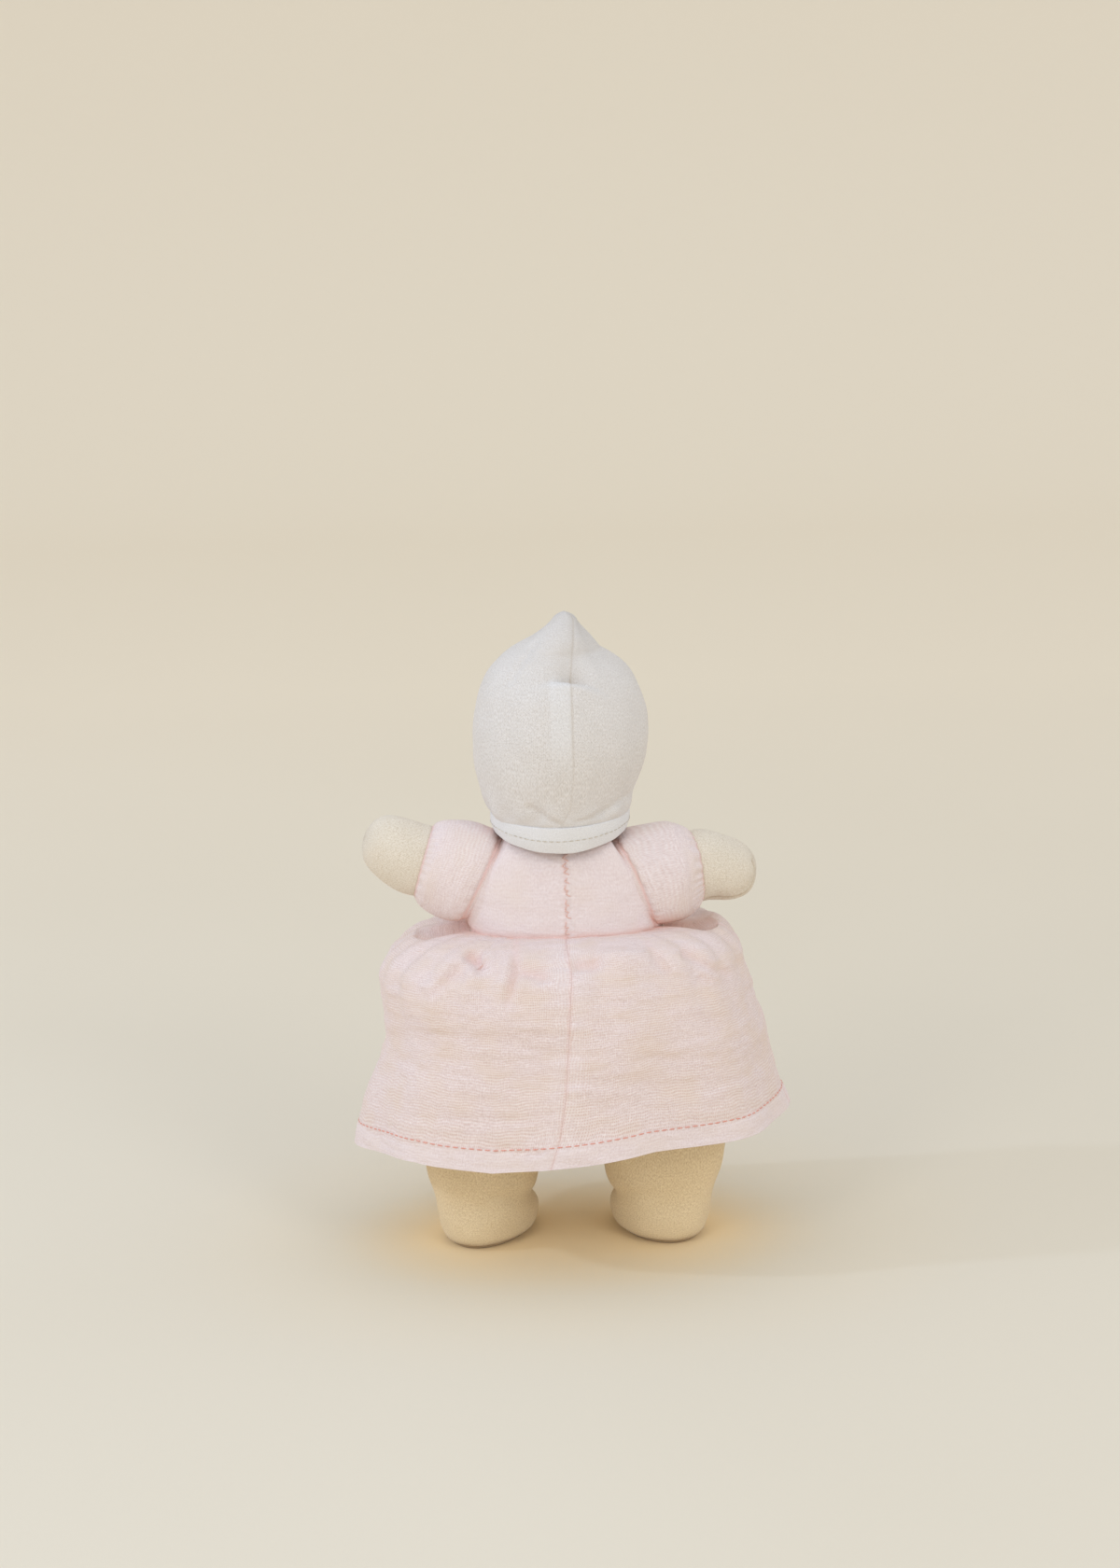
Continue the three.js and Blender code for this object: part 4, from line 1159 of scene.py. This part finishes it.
# %% Shape the head
HEAD = [[161.1, 9, 9, 9], [164.5, 9, 9, 9], [166.2, 14.2, 13.2, 16.8], [168, 20.3, 18, 24],
        [175, 24.4, 24.6, 27.9], [184, 28, 28.2, 28.8], [193, 30, 29.6, 28.5], [206.7, 28.5, 28.1, 27.6],
        [216.1, 23.3, 22.7, 23.4], [222.3, 14.8, 15, 15.6], [225.5, 0, 0, 0]]
# Each feature: distance from the middle, height, how far it stands out, half width and half height.
FEATURES = [(0, 186.0, 2.6, 2.6, 3.8), (0, 184.6, 1.9, 2.0, 1.8), (2.1, 184.2, 0.9, 1.1, 1.1),
            (8.8, 190.5, -1.3, 6.0, 5.0), (8.8, 190.0, 1.5, 3.9, 2.7), (8.8, 187.2, -0.35, 4.0, 0.7),
            (13, 182.5, 1.7, 6.5, 6), (0, 179.3, 0.9, 3.0, 0.8), (0, 176.9, 1.0, 2.6, 1.0),
            (0, 178.2, -0.5, 3.6, 0.45), (0, 172, 1.5, 4.5, 3), (0, 198, 0.4, 10, 5),
            (0, 174.5, -0.5, 3, 0.9)]


def head_shape(turn, t):
    """The head's oval form with its features, which lie on the front."""
    points = oval(HEAD, turn, t)
    for side, height, out, width, tall in FEATURES:
        swelling = out * bell(np.abs(points[:, 0]) - side, width) * bell(points[:, 2] - height, tall)
        points[:, 1] -= swelling * (points[:, 1] < 0)
    return points


print("the face has", len(FEATURES), "swellings and hollows")

# %% [markdown]
# ## The painted face
# The face is painted on the rubber: each lid's edge, each brow and the lips are arcs, and the cheeks and
# the nose are soft spots of red. A painted picture would need its own map, so the nodes place the paint by
# the head's own coordinates, seen from the front. Working with the distance from the middle paints both
# sides.

# %% Paint the face and cast the head
ROUGE = tone(226, 138, 122)


def face_paint():
    """Rubber with a painted face."""
    nodes = Nodes("head_rubber")
    place = nodes.add("ShaderNodeTexCoord").outputs["Object"]
    x, y, z = nodes.add("ShaderNodeSeparateXYZ", {0: place}).outputs[:3]
    side = nodes.times(nodes.math("ABSOLUTE", x), 1000.0)
    height = nodes.times(z, 1000.0)
    front = nodes.math("LESS_THAN", y, -0.012)

    def brushed(first, second):
        """1 where both are 0, and fading where one nears 1, on the front alone."""
        return nodes.times(nodes.math("EXPONENT", nodes.times(nodes.plus(first, second), -1.0)), front)

    def spot(at, level, width, tall):
        """An oval spot with soft edges."""
        a = nodes.math("DIVIDE", nodes.math("SUBTRACT", side, at), width)
        b = nodes.math("DIVIDE", nodes.math("SUBTRACT", height, level), tall)
        return brushed(nodes.times(a, a), nodes.times(b, b))

    def arc(at, level, bend, width, line):
        """A painted line that bends up or down to both sides of its middle."""
        a = nodes.math("SUBTRACT", side, at)
        low = nodes.scaled(nodes.times(a, a), bend, level)
        b = nodes.math("DIVIDE", nodes.math("ABSOLUTE", nodes.math("SUBTRACT", height, low)), line)
        end = nodes.math("POWER", nodes.math("DIVIDE", nodes.math("ABSOLUTE", a), width), 6.0)
        return brushed(nodes.times(b, b), end)

    cheek, nose = spot(14, 182, 6.5, 5.5), spot(0, 184, 2.8, 2.2)
    upper_lip, lower_lip = arc(0, 179.2, -0.07, 4.0, 1.0), arc(0, 176.9, 0.1, 3.1, 1.0)
    mouth, lid = arc(0, 178.2, 0.02, 3.9, 0.25), arc(8.8, 187.4, 0.1, 4.3, 0.34)
    brow = arc(9.4, 197.6, -0.045, 4.6, 0.55)
    base = nodes.mix(nodes.noise(place, 90.0, 3.0), tone(224, 180, 152), tone(236, 196, 170))
    for shape, strength, colour in (
            (cheek, 0.5, ROUGE), (nose, 0.2, ROUGE), (upper_lip, 0.8, tone(204, 104, 98)),
            (lower_lip, 0.8, tone(210, 112, 106)), (mouth, 0.8, tone(150, 66, 62)),
            (lid, 0.9, tone(92, 58, 42)), (brow, 0.5, tone(150, 108, 80))):
        base = nodes.mix(nodes.times(shape, strength), base, colour)
    pores = nodes.bump(nodes.noise(place, 2600.0, 3.0), 0.00005, 0.35)
    return nodes.finish(**{"Base Color": base, "Normal": pores, "Roughness": 0.48, "Subsurface Weight": 0.12,
                           "Subsurface Scale": 0.004, "Specular IOR Level": 0.45})


head = cut_cloth("moulded_head", 220, 200, (190, 100),
                 lambda u, v: head_shape(2 * math.pi * u, v), face_paint(), weld=True)
sewn_to(head, "head", "head_rubber", "head_shell")

# %% [markdown]
# ## The neck
# A jersey casing holds the rubber head's neck, and a thread is tied round it above the body. Its gathers
# show as small ridges under the thread. The bonnet's band hides it from most sides.

# %% Sew the neck casing
NECK = [[146.5, 0, 0, 0], [147.1, 3.4, 3.4, 3.4], [148.6, 6.5, 6.5, 6.5], [151, 8.9, 8.9, 8.9],
        [154.1, 10.5, 10.5, 10.5], [157.5, 11, 11, 11], [160.2, 10.6, 10.6, 10.6], [162.5, 10.4, 10.4, 10.4],
        [164.2, 11, 11, 11]]
casing = cut_cloth("sewn_neck_casing", 96, 40, (68, 22),
                   lambda u, v: oval(NECK, 2 * math.pi * u, v), cream_jersey, weld=True)
points = points_of(casing)
press(casing, 0.2 * np.cos(24 * np.arctan2(points[:, 1], points[:, 0])) * ease(157, 161, points[:, 2]))
seam_and_shade_marks(casing, 0.0)
thicken(casing, 0.6)
sewn_to(casing, "neck", "cream_jersey", "neck_casing")
for node, finish in (("neck_tie", white_thread), ("neck_filling", filling_fibre)):
    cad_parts[node].material_slots[0].material = finish

# %% [markdown]
# ## The hem's topstitching
# The hem is turned up and held by one row of salmon stitches, 3 mm apart, that runs 7 mm above the edge.
# The hem waves, so equal turns would give unequal stitches. We measure the way along a line of points on
# the skirt's shape, and lay a stitch on the cloth in each equal share of it.

# %% Topstitch the hem
HEM_STITCH = 3.0
STITCH_SHARE = 0.66
HEM_LINE = 0.062
hem_turns = np.linspace(0, 2 * math.pi, 4000, endpoint=False)
hem_line = skirt_shape(hem_turns, HEM_LINE + 0 * hem_turns)
hem_steps = np.linalg.norm(np.diff(hem_line, axis=0, append=hem_line[:1]), axis=1)
hem_way = np.concatenate([[0], np.cumsum(hem_steps)])
hem_count = int(hem_way[-1] / HEM_STITCH)
hem_starts = np.searchsorted(hem_way, np.arange(hem_count) * hem_way[-1] / hem_count)
hem_ends = np.searchsorted(hem_way, (np.arange(hem_count) + STITCH_SHARE) * hem_way[-1] / hem_count)
hem_stitches = stitch_row("hem_stitches", zip(hem_line[hem_starts], hem_line[hem_ends]), 0.25,
                          salmon_thread, skirt_cloth)
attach(hem_stitches, "torso")
print("hem", round(hem_way[-1]), "mm long,", hem_count, "stitches")

# %% [markdown]
# ## The cloth's cut sizes
# The frame wants the size that each sheet of cloth was cut to. We measure each finished panel and give a
# rectangle that holds it, with the area of the cut piece.

for piece, width, length, held in (
        (skirt["front"], 0.26, 0.125, "gathered"), (skirt["back_left"], 0.13, 0.125, "gathered"),
        (skirt["back_right"], 0.13, 0.125, "gathered"), (bonnet["left"], 0.09, 0.095, "stretched"),
        (bonnet["right"], 0.09, 0.095, "stretched"), (face_band, 0.16, 0.011, "stretched"),
        (nape_band, 0.155, 0.011, "stretched")):
    area = sum(face.area for face in piece.data.polygons)
    print(piece.name, "area", round(area, 5), "cut", width, length, "share", round(area / width / length, 2))

# %% [markdown]
# ## Floor and backdrop
# The doll stands on a beige paper sweep, which curves up behind it without an edge. It is one long sheet,
# bent over a quarter round far behind the doll, so its bend throws no shadow. Painted light makes the paper
# lighter towards the back and at the bend, and a painted warm shade lies under the doll, for the light that
# cloth throws there. The light that bounces off it is warmer than the paper looks.

# %% Lay the paper sweep
SWEEP_START, SWEEP_LENGTH, SWEEP_WIDTH = -2.4, 6.8, 7
CORNER, BEND_RADIUS = 1.7, 0.8
BEND_MIDDLE = -1.65


def sweep_shape(u, v):
    """Floor, then a quarter round far behind the doll, then a wall. It is worked out in metres."""
    way = SWEEP_START + SWEEP_LENGTH * v
    quarter = BEND_RADIUS * math.pi / 2
    bend = np.clip((way - CORNER) / quarter, 0, 1) * math.pi / 2
    y = -np.minimum(way, CORNER) - BEND_RADIUS * np.sin(bend)
    z = BEND_RADIUS * (1 - np.cos(bend)) + np.maximum(way - CORNER - quarter, 0)
    return np.stack([(u - 0.5) * SWEEP_WIDTH, y, z], axis=1) / MM


def paper():
    """Beige paper, painted lighter towards the back and at the bend, and painted with warm shade under the
    doll.
    """
    nodes = Nodes("beige_paper")
    place = nodes.add("ShaderNodeTexCoord").outputs["Object"]
    base = nodes.mix(nodes.noise(place, 3.2, 1.0), tone(226, 219, 203), tone(234, 228, 214))
    behind = nodes.add("ShaderNodeSeparateXYZ", {"Vector": place}).outputs["Y"]
    # Painted light: the paper turns lighter towards the back and near the bend.
    base = nodes.mix(nodes.scaled(behind, -1.1, -0.15), base, tone(246, 237, 219))
    from_bend = nodes.math("ABSOLUTE", nodes.plus(behind, -BEND_MIDDLE))
    base = nodes.mix(nodes.scaled(from_bend, -1.4, 1.0), base, tone(249, 241, 224))
    # Painted warm shade where ambient occlusion finds the doll close by.
    open_air = nodes.add("ShaderNodeAmbientOcclusion", {"Distance": 0.1}, samples=8).outputs["AO"]
    base = nodes.mix(nodes.scaled(open_air, 1.9, -0.78), tone(255, 232, 188), base)
    seen = nodes.add("ShaderNodeLightPath").outputs["Is Camera Ray"]
    base = nodes.mix(seen, tone(234, 219, 194), base)
    tooth = nodes.bump(nodes.noise(place, 900.0, 2.0), 0.0001, 0.3)
    return nodes.finish(**{"Base Color": base, "Normal": tooth, "Roughness": 0.9, "Specular IOR Level": 0.2})


sweep = cut_cloth("paper_sweep", 8, 120, (7000, 6800), sweep_shape, paper())
print("the paper sweep is", SWEEP_WIDTH, "m wide and", SWEEP_LENGTH, "m long")

# %% [markdown]
# ## Light
# Most light is the room's, from all sides. A small cool window at the left gives the pale shadow on the
# right, and two soft lamps stand by the camera, so the cloth's relief shows without hard shadows.

# %% Set the lamps
LAMPS = (("window", (1.15, 0.14, 0.75), 0.06, 2.4, (0.6, 0.74, 1.0)),
         ("left_softbox", (0.75, 1.1, 0.95), 0.5, 2.6, (1.0, 0.98, 0.95)),
         ("right_softbox", (-0.75, 1.1, 0.95), 0.5, 2.6, (1.0, 0.98, 0.95)))
ROOM_COLOUR, ROOM_STRENGTH = (0.97, 0.985, 1.0, 1), 0.8
DOLL_MIDDLE = Vector((0, 0, 0.1))
for name, place, size, power, colour in LAMPS:
    light = bpy.data.lights.new(name, "AREA")
    light.shape = "DISK"
    light.size = size
    light.energy = power
    light.color = colour
    holder = bpy.data.objects.new(name, light)
    holder.location = place
    holder.rotation_euler = (DOLL_MIDDLE - Vector(place)).to_track_quat("-Z", "Y").to_euler()
    bpy.context.scene.collection.objects.link(holder)
world = bpy.data.worlds.new("room")
world.use_nodes = True
world.node_tree.nodes["Background"].inputs["Color"].default_value = ROOM_COLOUR
world.node_tree.nodes["Background"].inputs["Strength"].default_value = ROOM_STRENGTH
bpy.context.scene.world = world
print("lit by", len(LAMPS), "lamps and the room")
